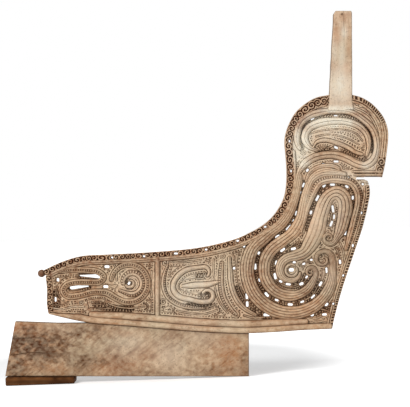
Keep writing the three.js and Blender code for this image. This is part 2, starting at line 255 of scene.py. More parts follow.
# Edges of the board
FOOT_EDGE = smooth_line([
    (-502, 48.5), (-460, 38), (-422, 30), (-385, 24.5), (-320, 20), (-210, 11), (-135, 5), (-60, 1),
    (0, 0), (60, 2.5), (130, 7.5), (209, 11)])
END_EDGE = smooth_line([(-509, 142), (-505.5, 110), (-505.5, 70), (-502, 50)])
TOP_EDGE = smooth_line([
    (-515, 157), (-472, 177), (-422, 192), (-360, 196), (-247, 202), (-122, 214), (-35, 235),
    (2, 251), (32, 268), (57, 289), (77, 316), (89, 343), (94, 373), (94.5, 413), (91.5, 453),
    (89.5, 478), (92.5, 501), (104, 531), (119, 555), (141, 574.5), (168, 589.5), (200, 596.5)])
DOME_EDGE = smooth_line([
    (257, 597), (279, 591), (294, 583.5), (309, 573), (323.5, 558.5), (335.5, 542.5), (343.2, 526),
    (348.2, 505), (348.2, 483), (341.4, 427), (333.5, 390.5)])
SHOULDER_CORNER = [(268, 385.4), (289, 385.1), (297, 381.8), (300.5, 375)]
NOTCH_TOP = (270, 390.2)
SHOULDER_EDGE = smooth_line([
    (301, 371), (302.6, 357), (302, 342), (299.5, 329), (295, 307), (282.5, 258), (264.5, 204),
    (232.5, 107), (213.5, 36), (208.5, 11)])

# Carved bands: points, widths at even steps along the line, ridges
VOLUTE = (107, 157)
BANDS = {
    "outer_scroll": ([
        (125, 401), (121, 368), (113, 333), (100, 301), (80, 273), (47, 247),
        *scroll(*VOLUTE, 112, 152, 104, 366), *scroll(186, 184, 23, 32, 6, 440)],
        (24, 23, 26, 33, 35, 35, 35, 34, 29, 19, 11, 6), 5),
    "middle_scroll": ([
        (245, 397), (217, 402), (185, 402), (160, 388), (146, 358), (137, 321), (129, 283),
        (112, 253), (85, 231), (56, 208), *scroll(*VOLUTE, 70, 162, 60, 338),
        *scroll(154, 152, 14, -10, 5, 330)],
        (10, 24, 21, 24, 30, 30, 30, 30, 28, 22, 13, 6), 4),
    "arch_band": ([
        (242, 206), (254, 243), (266, 288), (275, 326), (273, 355), (259, 375), (235, 383),
        (202, 384), (176, 375), (160, 348), (146, 313), (137, 278), (130, 250)],
        (10, 18, 20, 20, 20, 20, 19, 15, 12, 5), 3),
    "volute_eye": (scroll(*VOLUTE, 15, 50, 14, 400), (6, 8, 8, 8, 6), 1),
    "hairpin_scroll": ([
        *scroll(200, 238, 4, -480, 15, -50), (225, 248), (232, 266), (238, 290), (242, 317),
        (236, 341), (220, 351), (202, 344), (190, 326), (179, 293), (169, 255), (153, 222),
        (139, 203), (119, 194), *scroll(*VOLUTE, 33, 108, 22, 352)],
        (5, 8, 17, 31, 36, 35, 32, 36, 42, 40, 30, 24, 20, 14, 7), 4),
    "snout_line": ([(142, 378), (150, 398), (166, 412), (190, 419), (212, 418), (230, 410)],
                   (6, 11, 11, 9), 2),
    "brow_band": ([
        (120, 388), (126, 405), (141, 425), (165, 440), (192, 446), (222, 445), (247, 436),
        (270, 424), (292, 420), (311, 433), (320, 458), (319, 486), (309, 512), (287, 534),
        (257, 552), (220, 557), (185, 554), (153, 545), (130, 527), (121, 502), (121, 476),
        (130, 458)], (10, 20, 20, 20, 19, 17, 16, 14, 15, 18, 18, 10), 2),
    "lid_band": ([
        (174, 456), (152, 466), (140, 487), (148, 511), (173, 525), (207, 531), (247, 529),
        (279, 516), (297, 493), (300, 466), (294, 443)], (8, 18, 20, 18, 16, 14, 8), 2),
    "eye_bar": ([
        (160, 464), (170, 478), (192, 483), (220, 476), (247, 465), (269, 452), (286, 447)],
        (5, 11, 12, 11, 9), 1),
    "chin_upper": ([(257, 404), (337, 404)], (5, 7, 7), 1),
    "chin_lower": ([(262, 396), (334, 396)], (5, 7, 7), 1),
    "tail_serpent": ([
        (-482, 154), (-442, 158), (-400, 157), (-377, 153), (-364, 141), (-374, 128),
        (-402, 127), (-432, 127), (-456, 121), (-465, 107), (-454, 93), (-425, 94),
        (-392, 102), (-357, 101), (-332, 87), *scroll(-300, 125, 48, -105, 46, 175)],
        (12, 16, 16, 16, 16, 16, 16, 15, 10), 3),
    "tail_whorl": ([(-326, 108), *scroll(-293, 126, 30, -125, 22, 200)], (8, 14, 15, 15, 9), 2),
    "whorl_eye": (scroll(-297, 126, 13, 200, 5, 480), (8, 8, 4), 1),
    "kidney": ([
        *scroll(-113, 153, 14, -60, 13, 110), (-155, 159), (-177, 144), (-189, 124), (-188, 106),
        (-174, 91), (-147, 84), (-120, 78), *scroll(-104, 94, 15, -70, 13, 160)],
        (7, 12, 13, 14, 14, 13, 12, 7), 1),
    "kidney_bar": ([(-170, 117), (-135, 120), (-102, 122), (-75, 129)], (8, 16, 16, 9), 1),
    "halo_line": ([
        (-202, 173), (-211, 148), (-214, 121), (-205, 93), (-182, 74), (-147, 64), (-110, 62)],
        (6, 11, 11, 11, 6), 2),
    "standard": ([(-67, 181), (-70, 146), (-69, 113), (-61, 83), (-45, 59), (-29, 43)],
                 (10, 14, 14, 8), 2),
    "fan_line": ([(-49, 193), (-47, 158), (-44, 123), (-32, 88), (-10, 61), (20, 44)],
                 (9, 14, 14, 8), 2),
    "divider": ([(-229, 192), (-229, 110), (-229, 30)], (13, 13), 1),
}

# Bands with one ridge cut into beads: the number of that ridge, from the band's right side
BEADED = {"tail_serpent": 1, "tail_whorl": 0, "standard": 0, "halo_line": 1, "arch_band": 0}

# Thin ridges that are cut in the sunk ground: points, width
CURLS = [
    ([*scroll(146, 562, 2, 60, 11, 480), (166, 572), (178, 588)], 5),
    ([*scroll(181, 575, 2, 200, 8, 560), (196, 590)], 4.5),
    ([(108, 530), (118, 535), (130, 550), (134, 562)], 4),
    ([(112, 497), (110, 515), (121, 531)], 4),
    ([*scroll(272, 576, 2, 0, 9, -420), (291, 566), (312, 540), (326, 508), (331, 476)], 5.5),
    ([(268, 562), (284, 556), (303, 542), (318, 516), (325, 488), (326, 456)], 4),
    ([(277, 592), (300, 577), (320, 556)], 4),
    ([*scroll(138, 453, 2, 90, 9, -250)], 3.5),
    ([*scroll(120, 424, 2, 90, 8, 400)], 3.5),
    ([*scroll(328, 417, 2, 0, 7, 330)], 3.5),
    ([*scroll(200, 246, 2, 90, 9, -260)], 4),
    ([*scroll(180, 191, 2, 90, 8, 430)], 4),
    ([*scroll(155, 156, 2, 0, 8, -330)], 4),
    ([*scroll(-210, 176, 2, 0, 8, 400), (-190, 178), (-160, 178), (-120, 183)], 3.5),
    ([*scroll(-214, 78, 2, 90, 8, -300)], 3.5),
    ([*scroll(-67, 192, 2, 90, 7, 400)], 3.5),
    ([*scroll(-318, 178, 2, 0, 7, 380), (-296, 186), (-262, 184)], 3.5),
    ([(-350, 190), (-332, 160), (-331, 132)], 3.5),
    ([(-352, 74), (-330, 66), (-296, 62), (-262, 66)], 3.5),
    ([(-243, 90), (-246, 120), (-243, 156)], 3.5),
    ([(-88, 186), (-88, 150), (-82, 100), (-70, 72), (-52, 50)], 3.5),
    ([(-180, 56), (-150, 50), (-110, 48), (-80, 58)], 3.5),
    ([(-496, 64), (-470, 60), (-440, 66), (-412, 66)], 3.5),
    ([*scroll(-420, 76, 2, 0, 6, 400)], 3),
    ([(-12, 44), (12, 38), (40, 40)], 3.5),
    ([(145, 42), (166, 36), (190, 44), (200, 34)], 3.5),
    ([(160, 58), (182, 60), (204, 52)], 3.5),
    ([(150, 27), (176, 29), (204, 24)], 3.5),
    ([(228, 226), (236, 206), (240, 180)], 4),
    ([*scroll(211, 76, 5, 0, 5, 360)], 3),
    ([(150, 497), (172, 505), (205, 510), (240, 509), (268, 500), (284, 482)], 3),
    ([(168, 492), (195, 497), (225, 494), (250, 486), (275, 472)], 3),
    ([(180, 449), (212, 457), (246, 446), (284, 429)], 4),
]

# Piercings that follow the sunk strips: u, w, length, width
SLIT_ROWS = [
    [(137, 371, 12, 5), (129, 352, 8, 4), (124, 336, 11, 5), (119, 300, 12, 5), (112, 282, 7, 4),
     (100, 264, 18, 6), (72, 241, 13, 7), (40, 224, 16, 6), (25, 200, 8, 5), (16, 166, 15, 6),
     (27, 132, 9, 5), (45, 96, 14, 6), (70, 82, 10, 5), (104, 71, 13, 6), (134, 78, 10, 5),
     (161, 91, 13, 5), (180, 123, 13, 6)],
    [(135, 218, 7, 4), (112, 211, 13, 6), (85, 208, 14, 6), (69, 176, 11, 6), (66, 142, 16, 6),
     (80, 129, 9, 5), (99, 122, 13, 6), (132, 123, 11, 7), (145, 140, 8, 5)],
    [(151, 262, 10, 6), (156, 302, 10, 6), (172, 338, 16, 6), (189, 369, 10, 6),
     (210, 372, 13, 6), (246, 367, 10, 6), (261, 339, 10, 6), (245, 278, 16, 6),
     (242, 252, 14, 6)],
    [(211, 311, 18, 6), (214, 291, 12, 5), (207, 274, 15, 6)],
    [(-5, 92, 15, 6), (-4, 72, 14, 6)],
]
# Other piercings: u, w, length, width, slope in degrees
SLITS = [
    (107, 158, 13, 9, 0), (114, 177, 8, 5, 0), (138, 173, 8, 5, 20), (157, 183, 7, 5, 0),
    (175, 226, 8, 6, 60), (229, 178, 11, 6, 100), (195, 157, 14, 5, 95),
    (195, 71, 10, 7, 35), (190, 46, 12, 6, 0), (159, 45, 9, 7, 0), (45, 45, 17, 7, 0),
    (-37, 162, 6, 7, 0), (-356, 166, 13, 7, 0), (-359, 116, 13, 7, 0), (-479, 133, 7, 9, 0),
    (-485, 84, 5, 12, 0), (219, 465, 11, 6, -25), (219, 430, 13, 5, 0), (147, 408, 9, 6, 50),
    (188, 423, 9, 4, 0), (250, 388, 6, 7, 0), (-301, 124, 5, 10, -30), (212, 73, 6, 6, 0),
    (160, 537, 10, 3.5, 30), (218, 545, 10, 3.5, 0),
]
# Holes in the edge strips: u, w, length, width
EDGE_HOLES = [
    (-343, 189, 6, 5), (-263, 192, 6, 5), (-183, 199, 10, 5), (-107, 209, 6, 5), (-28, 231, 7, 5),
    (-12, 217, 6, 6), (41, 266, 7, 5), (102, 481, 5, 7), (106, 406, 5, 7), (286, 373, 6, 6),
    (283, 301, 5, 7), (261, 219, 6, 8), (237, 144, 6, 6),
]
# Long openings between the loops of the serpent: blunt end, point, height
TEARDROPS = [((-377, 142), (-423, 143.5), 10.5), ((-444, 114), (-403, 117), 10.5)]

# Patches of pigment and stain on the board: u, w, reach along u, reach along w, strength
BOARD_PATCHES = {
    "red": [
        (112, 538, 34, 30, 1.4), (150, 576, 44, 22, 1.5), (185, 588, 50, 12, 1.2),
        (100, 500, 22, 60, 0.6), (-505, 150, 30, 30, 0.9), (305, 566, 44, 30, 0.9),
        (336, 415, 22, 50, 0.7), (-220, 182, 34, 16, 0.55), (-400, 176, 90, 12, 0.5),
        (60, 330, 26, 60, 0.4), (10, 150, 26, 50, 0.5), (185, 150, 24, 34, 0.35),
        (232, 260, 22, 50, 0.35), (288, 320, 20, 50, 0.4), (150, 440, 60, 12, 0.2),
        (-490, 90, 24, 60, 0.7), (-420, 70, 50, 16, 0.5), (40, 225, 40, 20, 0.35),
    ],
    "lime": [
        (220, 560, 70, 12, 1.3), (126, 470, 28, 50, 2.0), (195, 528, 90, 20, 1.6),
        (135, 430, 24, 26, 1.0), (215, 500, 80, 30, 0.7), (318, 440, 20, 42, 0.8),
        (-140, 110, 80, 66, 0.75), (-60, 110, 46, 80, 0.4), (290, 375, 20, 14, 0.9),
        (-295, 130, 36, 36, 0.35), (235, 395, 60, 16, 0.6), (107, 160, 50, 40, 0.3),
        (212, 300, 34, 60, 0.5), (185, 385, 60, 20, 0.4), (226, 620, 34, 48, 1.0),
        (214, 700, 10, 40, 0.5), (232, 690, 9, 60, 0.55), (238, 752, 9, 16, 0.9),
        (152, 505, 22, 36, 0.9), (300, 420, 24, 24, 0.9), (285, 540, 24, 16, 0.5),
        (170, 310, 44, 90, 0.35), (185, 140, 40, 40, 0.35), (215, 420, 70, 24, 0.4),
    ],
    "warm": [
        (185, 362, 30, 18, 1.0), (295, 530, 36, 50, 0.8), (250, 440, 60, 30, 0.5),
        (235, 495, 70, 26, 0.3), (125, 300, 45, 90, 0.35), (140, 60, 90, 36, 0.5),
        (-420, 120, 60, 50, 0.4), (10, 120, 34, 70, 0.5), (-200, 200, 160, 16, 0.6),
        (80, 40, 130, 24, 0.4), (219, 752, 12, 30, 1.0), (250, 720, 9, 60, 0.8),
        (246, 660, 10, 22, 0.8), (214, 665, 8, 26, 0.6), (230, 790, 22, 18, 0.6),
    ],
    "stain": [
        (20, 130, 40, 80, 0.8), (85, 320, 30, 50, 0.4), (-300, 60, 130, 14, 0.6),
        (-430, 140, 90, 46, 0.8), (190, 100, 34, 50, 0.15), (60, 60, 40, 20, 0.4),
        (-120, 66, 60, 16, 0.7), (-350, 180, 110, 12, 1.1), (-430, 172, 60, 16, 0.8),
        (-180, 184, 130, 10, 1.1), (-50, 204, 60, 12, 0.9), (40, 250, 36, 16, 0.7),
        (-470, 80, 40, 30, 0.5), (262, 300, 26, 70, 0.25), (205, 668, 5, 24, 0.7),
        (216, 772, 5, 12, 0.5), (252, 648, 6, 10, 0.5),
    ],
}
TONGUE_PATCHES = {
    "red": [
        (-575, 14, 40, 14, 0.5), (-600, -24, 30, 18, 0.8), (-330, -75, 70, 34, 0.3),
    ],
    "lime": [
        (-300, -30, 60, 40, 0.6), (-200, -50, 60, 50, 0.6), (-120, -10, 70, 40, 0.35),
        (-470, 12, 50, 18, 0.3),
    ],
    "warm": [
        (-50, -50, 50, 60, 1.0), (-350, -84, 90, 26, 0.9), (-570, 14, 50, 14, 1.7),
        (-550, -30, 100, 70, 0.8), (-545, -78, 60, 14, 1.3), (-255, -55, 50, 20, 0.5),
        (-500, -90, 80, 16, 1.0), (-330, 0, 60, 12, 0.6),
    ],
    "stain": [
        (-594, -28, 34, 22, 2.8), (-606, -60, 14, 34, 2.0), (-560, -20, 30, 26, 1.5),
        (-530, -40, 110, 50, 1.3), (-545, 8, 44, 14, 0.9), (-475, -20, 60, 34, 1.2),
        (-430, -66, 90, 24, 0.9), (-400, 0, 70, 24, 0.8), (-590, -84, 34, 26, 1.1),
        (-250, -98, 110, 14, 0.6), (-330, -50, 40, 30, 0.4), (-12, -60, 16, 44, 0.5),
        (-90, -92, 90, 12, 0.4), (-190, -20, 30, 20, 0.3),
    ],
}
# Where the grooves are worn away, and where the ridges of the ground run on with few teeth
SMOOTH_PATCHES = [
    (112, 350, 36, 60, 0.8), (146, 320, 18, 80, 0.95), (170, 300, 15, 80, 0.9),
    (134, 240, 26, 36, 0.8), (160, 250, 24, 40, 0.9), (60, 262, 50, 26, 0.5),
    (180, 396, 40, 20, 0.4), (119, 482, 14, 46, 0.75), (148, 492, 14, 30, 0.6),
    (200, 552, 60, 8, 0.4),
]
CALM_PATCHES = [(118, 470, 24, 60, 0.8), (320, 500, 18, 60, 0.5), (262, 560, 40, 14, 0.5)]

# Lines along which the ground is cut deep, besides the rows of slits
DEEP_LINES = [
    [(135, 516), (160, 537), (190, 544), (240, 543), (282, 528), (307, 498), (312, 458)],
    [(136, 470), (138, 500)], [(176, 446), (200, 458)], [(240, 452), (290, 434)],
    [(-378, 142), (-420, 143)], [(-402, 117), (-445, 114)], [(-150, 66), (-100, 68)],
    [(-480, 70), (-484, 100)], [(-301, 128), (-299, 118)], [(-124, 142), (-112, 144)],
    [(-378, 70), (-335, 60), (-295, 60)],
    [(258, 588), (276, 590), (296, 572)], [(-116, 93), (-104, 94)],
    [(-28, 110), (10, 60), (50, 40)], [(170, 50), (200, 66)],
]

# Raised panel round the eye, and the panels that the ground is made in: lowest and highest u and w
EYE_PANEL = np.array([
    (146, 470), (140, 489), (150, 510), (207, 528), (250, 527), (280, 514), (297, 490), (297, 447),
    (247, 466), (192, 484)], float)
SHEET = (-530, 360, -20, 620)
GROUND_PANELS = {
    "ground_tail": (-530, -229, -20, 620),
    "ground_middle": (-229, -40, -20, 620),
    "ground_volute": (-40, 360, -20, 116),
    "ground_heart": (-40, 360, 116, 240),
    "ground_neck": (-40, 360, 240, 400),
    "ground_head": (-40, 360, 400, 620),
}


# Small sums

def tint(name):
    """Colour that the user may change, by its name."""
    return tuple(getattr(bpy.context.scene.prow_colours, name))


def cut_size(name):
    """Size that the user may change, by its name, in millimetres."""
    return 1000 * getattr(bpy.context.scene.prow_sizes, name)


def linear(red, green, blue):
    """Colour written as it looks on a screen, 0 to 255, as the light it stands for."""
    c = np.array([red, green, blue]) / 255
    return (*np.where(c <= 0.04045, c / 12.92, ((c + 0.055) / 1.055) ** 2.4), 1.0)


def held(x):
    """The value, held between 0 and 1."""
    return np.clip(x, 0, 1)


def eased(x):
    """Smooth step from 0 to 1 while x goes from 0 to 1."""
    x = held(x)
    return x * x * (3 - 2 * x)


def bell(x, width):
    """Bell curve: 1 at zero, falling with the square of the distance over its width."""
    return np.exp(-(x / width) ** 2)


def wave(turns):
    """Cosine of a number of whole turns."""
    return np.cos(2 * np.pi * turns)


def ripple(a, b, wave_a, wave_b, seed):
    """Smooth noise from -1 to 1: a seeded lattice of random heights, eased between its corners."""
    lattice = np.random.default_rng(seed).uniform(-1, 1, (LATTICE, LATTICE))
    x, y = np.asarray(a) / wave_a, np.asarray(b) / wave_b
    i, j = np.floor(x).astype(int), np.floor(y).astype(int)
    near, above = eased(x - i), eased(y - j)
    left, right = i % LATTICE, (i + 1) % LATTICE
    low, high = (
        lattice[left, row % LATTICE] * (1 - near) + lattice[right, row % LATTICE] * near
        for row in (j, j + 1))
    return low * (1 - above) + high * above


def patches(u, w, places):
    """Strength of a pigment at each place: the strongest of its soft round patches."""
    found = np.zeros_like(u)
    for pu, pw, reach_u, reach_w, strength in places:
        found = np.maximum(found, strength * bell(u - pu, reach_u) * bell(w - pw, reach_w))
    return found


def pigments(u, w, places=BOARD_PATCHES):
    """Strength of every pigment and stain at each place."""
    return {tone: patches(u, w, own) for tone, own in places.items()}


def limed(groove, u, w):
    """Darkness of the cut, grime and painted shade together, lessened where lime has filled part of the
    cut.
    """
    return groove * (1 - LIME_FILL * np.minimum(patches(u, w, BOARD_PATCHES["lime"]), 1) ** 2)


# Meshes

def placed(u, depth, w):
    """Sheet places in the room, in metres: turned by the lean about the tongue's right corner."""
    lift = w + TONGUE_HEIGHT
    x = CORNER_X + (u * math.cos(LEAN) + lift * math.sin(LEAN)) / 1000
    z = (lift * math.cos(LEAN) - u * math.sin(LEAN)) / 1000
    return np.stack([x, depth / 1000, z], axis=-1)


def new_piece(name, places, faces, tones, material, replaces, sharp=PLATE_SHARP):
    """Mesh object from arrays of places and faces, one array for each number of corners.

    Each tone has one value a vertex. Edges sharper than the given angle, in degrees, stay sharp."""
    corners = np.concatenate([own.ravel() for own in faces])
    counts = np.concatenate([np.full(len(own), own.shape[1]) for own in faces])
    mesh = bpy.data.meshes.new(name)
    mesh.vertices.add(len(places))
    mesh.vertices.foreach_set("co", places.astype(np.float32).ravel())
    mesh.loops.add(len(corners))
    mesh.loops.foreach_set("vertex_index", corners.astype(np.int32))
    mesh.polygons.add(len(counts))
    mesh.polygons.foreach_set("loop_start", (np.cumsum(counts) - counts).astype(np.int32))
    mesh.update(calc_edges=True)
    for tone, values in tones.items():
        layer = mesh.attributes.new(tone, "FLOAT", "POINT")
        layer.data.foreach_set("value", values.astype(np.float32))
    mesh.shade_smooth()
    mesh.set_sharp_from_angle(angle=math.radians(sharp))
    piece = bpy.data.objects.new(name, mesh)
    bpy.context.scene.collection.objects.link(piece)
    mesh.materials.append(material)
    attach(piece, "root")
    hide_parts(replaces)
    return piece


def plate(name, u, w, half, tones, material, keep=True, replaces="prow_board"):
    """Closed plate on a grid: a front sheet, the same sheet behind, and a wall round each edge.

    A cell of the grid is left out where keep is false."""
    rows, columns = u.shape
    total = rows * columns
    keep = np.broadcast_to(keep, (rows - 1, columns - 1))
    number = np.arange(total).reshape(rows, columns)
    corners = [number[:-1, :-1], number[:-1, 1:], number[1:, 1:], number[1:, :-1]]
    front = np.stack([c[keep] for c in corners], axis=-1)
    padded = np.pad(keep, 1)
    beyond = [padded[:-2, 1:-1], padded[1:-1, 2:], padded[2:, 1:-1], padded[1:-1, :-2]]
    walls = []
    for side in range(4):
        edge = keep & ~beyond[side]
        p, q = corners[side][edge], corners[(side + 1) % 4][edge]
        walls.append(np.stack([q, p, p + total, q + total], axis=-1))
    faces = np.concatenate([front, front[:, ::-1] + total, *walls])
    places = np.concatenate([placed(u, -half, w).reshape(-1, 3), placed(u, half, w).reshape(-1, 3)])
    used = np.zeros(2 * total, bool)
    used[faces] = True
    renumbered = np.cumsum(used) - 1
    tones = {t: np.tile(np.broadcast_to(v, u.shape).ravel(), 2)[used] for t, v in tones.items()}
    return new_piece(name, places[used], [renumbered[faces]], tones, material, replaces)


def ringed(name, rings, tones, material, replaces):
    """Closed skin through a stack of rings, each end drawn together in one point."""
    count, around, _ = rings.shape
    number = np.arange(count * around).reshape(count, around)
    after = np.roll(number, -1, axis=1)
    sides = np.stack([number[:-1], after[:-1], after[1:], number[1:]], axis=-1).reshape(-1, 4)
    places = np.concatenate([rings.reshape(-1, 3), [rings[0].mean(0)], [rings[-1].mean(0)]])
    first, last = np.full(around, count * around), np.full(around, count * around + 1)
    start = np.stack([number[0], first, after[0]], axis=-1)
    end = np.stack([after[-1], last, number[-1]], axis=-1)
    whole = {}
    for tone, value in tones.items():
        value = np.broadcast_to(value, (count, around))
        whole[tone] = np.append(value.ravel(), [value[0].mean(), value[-1].mean()])
    return new_piece(name, places, [sides, start, end], whole, material, replaces, RINGED_SHARP)


# Piercings

def slots():
    """Every piercing as a round-ended slot: its two ends and the radius at each of them."""
    found = []
    for row in SLIT_ROWS:
        centre = np.array([slit[:2] for slit in row], float)
        way = np.gradient(centre, axis=0)
        way /= np.hypot(*way.T)[:, None]
        for (u, w, length, width), (du, dw) in zip(row, way * 0.5):
            du, dw = du * (length - width), dw * (length - width)
            found.append((u - du, w - dw, u + du, w + dw, width / 2, width / 2))
    for u, w, length, width, slope in SLITS + [(*hole, 0) for hole in EDGE_HOLES]:
        turn = math.radians(slope if length >= width else slope + 90)
        reach = abs(length - width) / 2
        radius = min(length, width) / 2
        du, dw = math.cos(turn) * reach, math.sin(turn) * reach
        found.append((u - du, w - dw, u + du, w + dw, radius, radius))
    for blunt, tip, height in TEARDROPS:
        found.append((*blunt, *tip, height / 2, TEARDROP_POINT))
    return found


SLOTS = slots()


def slot_distance(u, w):
    """Distance from the nearest piercing, negative inside it."""
    found = np.full(u.shape, NO_SLOT)
    wide, high = SLOT_WINDOW
    for au, aw, bu, bw, ra, rb in SLOTS:
        run, rise = bu - au, bw - aw
        near = (np.abs(u - (au + bu) / 2) < wide) & (np.abs(w - (aw + bw) / 2) < high)
        if not near.any():
            continue
        pu, pw = u[near] - au, w[near] - aw
        share = held((pu * run + pw * rise) / max(run * run + rise * rise, 1e-6))
        far = np.hypot(pu - share * run, pw - share * rise) - (ra + (rb - ra) * share)
        found[near] = np.minimum(found[near], far)
    return found


def pierced(u, w, keep=True):
    """Leaves out the cells inside a piercing and moves the rim of each hole onto its outline."""
    middle = slot_distance((u[:-1, :-1] + u[1:, 1:]) / 2, (w[:-1, :-1] + w[1:, 1:]) / 2)
    keep = keep & (middle > 0)
    # A cell that parts two kept ones at a corner comes back, so that no edge has four faces
    for _ in range(3):
        a, b, c, d = keep[:-1, :-1], keep[:-1, 1:], keep[1:, 1:], keep[1:, :-1]
        whole = keep.copy()
        whole[:-1, :-1] |= b & d & ~a & ~c
        whole[:-1, 1:] |= a & c & ~b & ~d
        keep = whole
    rim = np.zeros(u.shape, bool)
    gone = ~keep & (middle <= RIM_REACH)
    for j in (0, 1):
        for i in (0, 1):
            rim[j:j + gone.shape[0], i:i + gone.shape[1]] |= gone
    u, w = u.copy(), w.copy()
    for _ in range(2):
        ru, rw = u[rim], w[rim]
        far = slot_distance(ru, rw)
        slope_u = (slot_distance(ru + SLOPE_STEP, rw) - far) / SLOPE_STEP
        slope_w = (slot_distance(ru, rw + SLOPE_STEP) - far) / SLOPE_STEP
        steep = np.maximum(slope_u ** 2 + slope_w ** 2, LEAST_SLOPE ** 2)
        move = np.clip(far, -RIM_MOVE, RIM_MOVE) / steep
        u[rim] -= move * slope_u
        w[rim] -= move * slope_w
    return u, w, keep


# Bands

def half_widths(line, widths):
    """Half the width along a band: eased from each given width to the next, at even steps."""
    place = walked(line) / walked(line)[-1] * (len(widths) - 1)
    step = np.minimum(place.astype(int), len(widths) - 2)
    ease = eased(place - step)
    widths = np.array(widths, float) / 2
    return widths[step] * (1 - ease) + widths[step + 1] * ease


def band_lines():
    """Each band as a smooth line, its half width and its number of ridges."""
    found = {}
    for name, (points, widths, ridges) in BANDS.items():
        line = smooth_line(points, BEAD_STEP if name in BEADED else LINE_STEP)
        found[name] = (line, half_widths(line, widths), ridges)
    return found


def cut_back(line, half):
    """The line without its rounded ends, so that a round cap put on it ends where the band does."""
    far = walked(line)
    half = np.broadcast_to(half, far.shape)
    own = (far >= half[0]) & (far <= far[-1] - half[-1])
    return line[own], half[own]


BAND_LINES = band_lines()

# Half heights of the two ridges along the foot; the upper one starts by the seam's left end
FOOT_LOWER = np.interp(FOOT_EDGE[:, 0], [-502, -425, -395, -320], [1.5, 8.8, 8.0, 7.4])
UPPER_EDGE = FOOT_EDGE[(FOOT_EDGE[:, 0] > -405) & (FOOT_EDGE[:, 0] < 150)]
FOOT_UPPER = np.interp(UPPER_EDGE[:, 0], [-405, -385, -300, 60, 150], [6.5, 8.2, 9.2, 8.8, 6.5])

# The strip along the top edge widens round the neck and the head, and a ridge runs under it
TO_POST = walked(TOP_EDGE)[-1] - walked(TOP_EDGE)
RIM_HALF = np.interp(TO_POST, [0, 35, 75, 115, 190, 330, 430], [14, 13, 11.5, 10.5, 9.5, 9.5, 7])
RIM_RIDGE = slice(6, -110)

STRIPS = {
    "rim_ridge": (beside(TOP_EDGE, -RIM_HALF - (UNDER_RIM - RIM_LAP) / 2)[RIM_RIDGE],
                  ((UNDER_RIM + RIM_LAP) / 2 - RIM_HALF)[RIM_RIDGE]),
    "rim_strip": (beside(TOP_EDGE, -RIM_HALF), RIM_HALF),
    "dome_strip": (beside(DOME_EDGE, -DOME_HALF), DOME_HALF),
    "shoulder_strip": (beside(SHOULDER_EDGE, -SHOULDER_HALF), SHOULDER_HALF),
    "end_strip": (beside(END_EDGE, END_HALF), END_HALF),
    "foot_lower": (beside(FOOT_EDGE, FOOT_LOWER), FOOT_LOWER),
    "foot_upper": (beside(UPPER_EDGE, UPPER_FOOT + FOOT_UPPER), FOOT_UPPER),
}


def ridge_shares(ridges):
    """Places across a band from -1 to 1, close together beside each groove.

    The second column is how far each place is across its own ridge, from 0 to 1."""
    across = np.array([0, GROOVE_HALF, LIP_HALF, 0.5, 1 - LIP_HALF, 1 - GROOVE_HALF])
    share = np.append((np.arange(ridges)[:, None] + across).ravel(), ridges)
    return 2 * share[:, None] / ridges - 1, np.append(np.tile(across, ridges), 1.0)[:, None]


def carved_band(name, line, half, ridges, crown, edge, material, seed, end_round=1.0, wander=0.05,
                edge_shade=0.9, beaded=None):
    """Band of ridges swept along a line.

    Across it the crown falls off with the cube of the distance from the middle, each ridge is
    rounded with the square of the distance from its own middle, and a V groove parts the ridges.
    Along it the ends are rounded like a quarter circle, and beads are notched like a cosine."""
    across, within = ridge_shares(ridges)
    far = walked(line)
    tip = held(np.minimum(far, far[-1] - far) / np.maximum(half, 1) / end_round)
    ends = np.sqrt(np.maximum(1 - (1 - tip) ** 2, BLUNT_END))
    reach = half * (1 + wander * ripple(far, seed, WANDER_WAVE, 1, seed)) * ends * across
    u, w = off_line(line, reach)
    way = np.broadcast_to(far, u.shape)
    pitch = 2 * half / ridges
    from_groove = np.minimum(within, 1 - within)
    inner = np.abs(across) < 0.999
    groove = inner * held(1 - from_groove / GROOVE_HALF)
    lip = inner * held(1 - from_groove / LIP_HALF)
    strength = 1 - patches(u, w, SMOOTH_PATCHES)
    number = np.minimum((across + 1) / 2 * ridges, ridges - 1).astype(int)
    beads = eased(0.5 - 0.9 * wave(far / BEAD_PITCH + 0.3 * ripple(far, 0, 31, 1, seed)))
    notch = held(from_groove / LIP_HALF) * (number == beaded) * beads
    depth = np.minimum(cut_size("groove_depth"), GROOVE_LIMIT * pitch)
    height = edge + (crown - edge) * (1 - np.abs(across) ** 3)
    height = height + 9 * wander * ripple(u, w, WORN_WAVE, WORN_WAVE, seed + 5)
    height -= np.minimum(1.0, RIDGE_ROUND * pitch) * (2 * within - 1) ** 2
    height -= depth * (groove * strength + BEAD_NOTCH * notch)
    height = WEB + (height - WEB) * (0.55 + 0.45 * ends)
    patchy = 0.8 + 0.6 * ripple(way, 1.3 * (across + 1) * ridges, DIRT_WAVE, 1, seed + 9)
    # Grooves and lips are darkened with grime and painted shade; the band's outer edge and its wall
    # take painted shade where the band drops to the ground.
    dirt_and_shade = held(strength * patchy * (0.66 * groove + 0.2 * lip))
    dirt_and_shade = np.maximum(dirt_and_shade, ~inner * edge_shade)
    tones = {
        "groove": limed(np.maximum(dirt_and_shade, BEAD_NOTCH * notch), u, w),
        "crest": (1 - (2 * within - 1) ** 2) * (1 - notch),
        **pigments(u, w),
    }
    for tone, most, own_seed in (("stain", 0.5, seed + 10), ("warm", 0.6, seed + 11)):
        streaks = eased(1.5 * ripple(way, reach, *STREAK_WAVES, own_seed) - 0.3)
        tones[tone] = np.maximum(tones[tone], most * streaks)
    return plate(name, u, w, height, tones, material)


# Edge strips

def curl_pattern(along, across, half, pitch):
    """Row of spirals, turned one way and the other: each is a wave of the radius less the angle.

    They keep their size whatever the strip's half width is."""
    number = np.floor(along / pitch)
    side = np.where(number % 2 == 0, 1.0, -1.0)
    x = along - (number + 0.5) * pitch
    angle = np.arctan2(across * side, x) + 2.4 * number
    return eased(0.55 + 0.8 * np.cos(2 * np.pi * np.hypot(x, across) / CURL_LINE - angle))


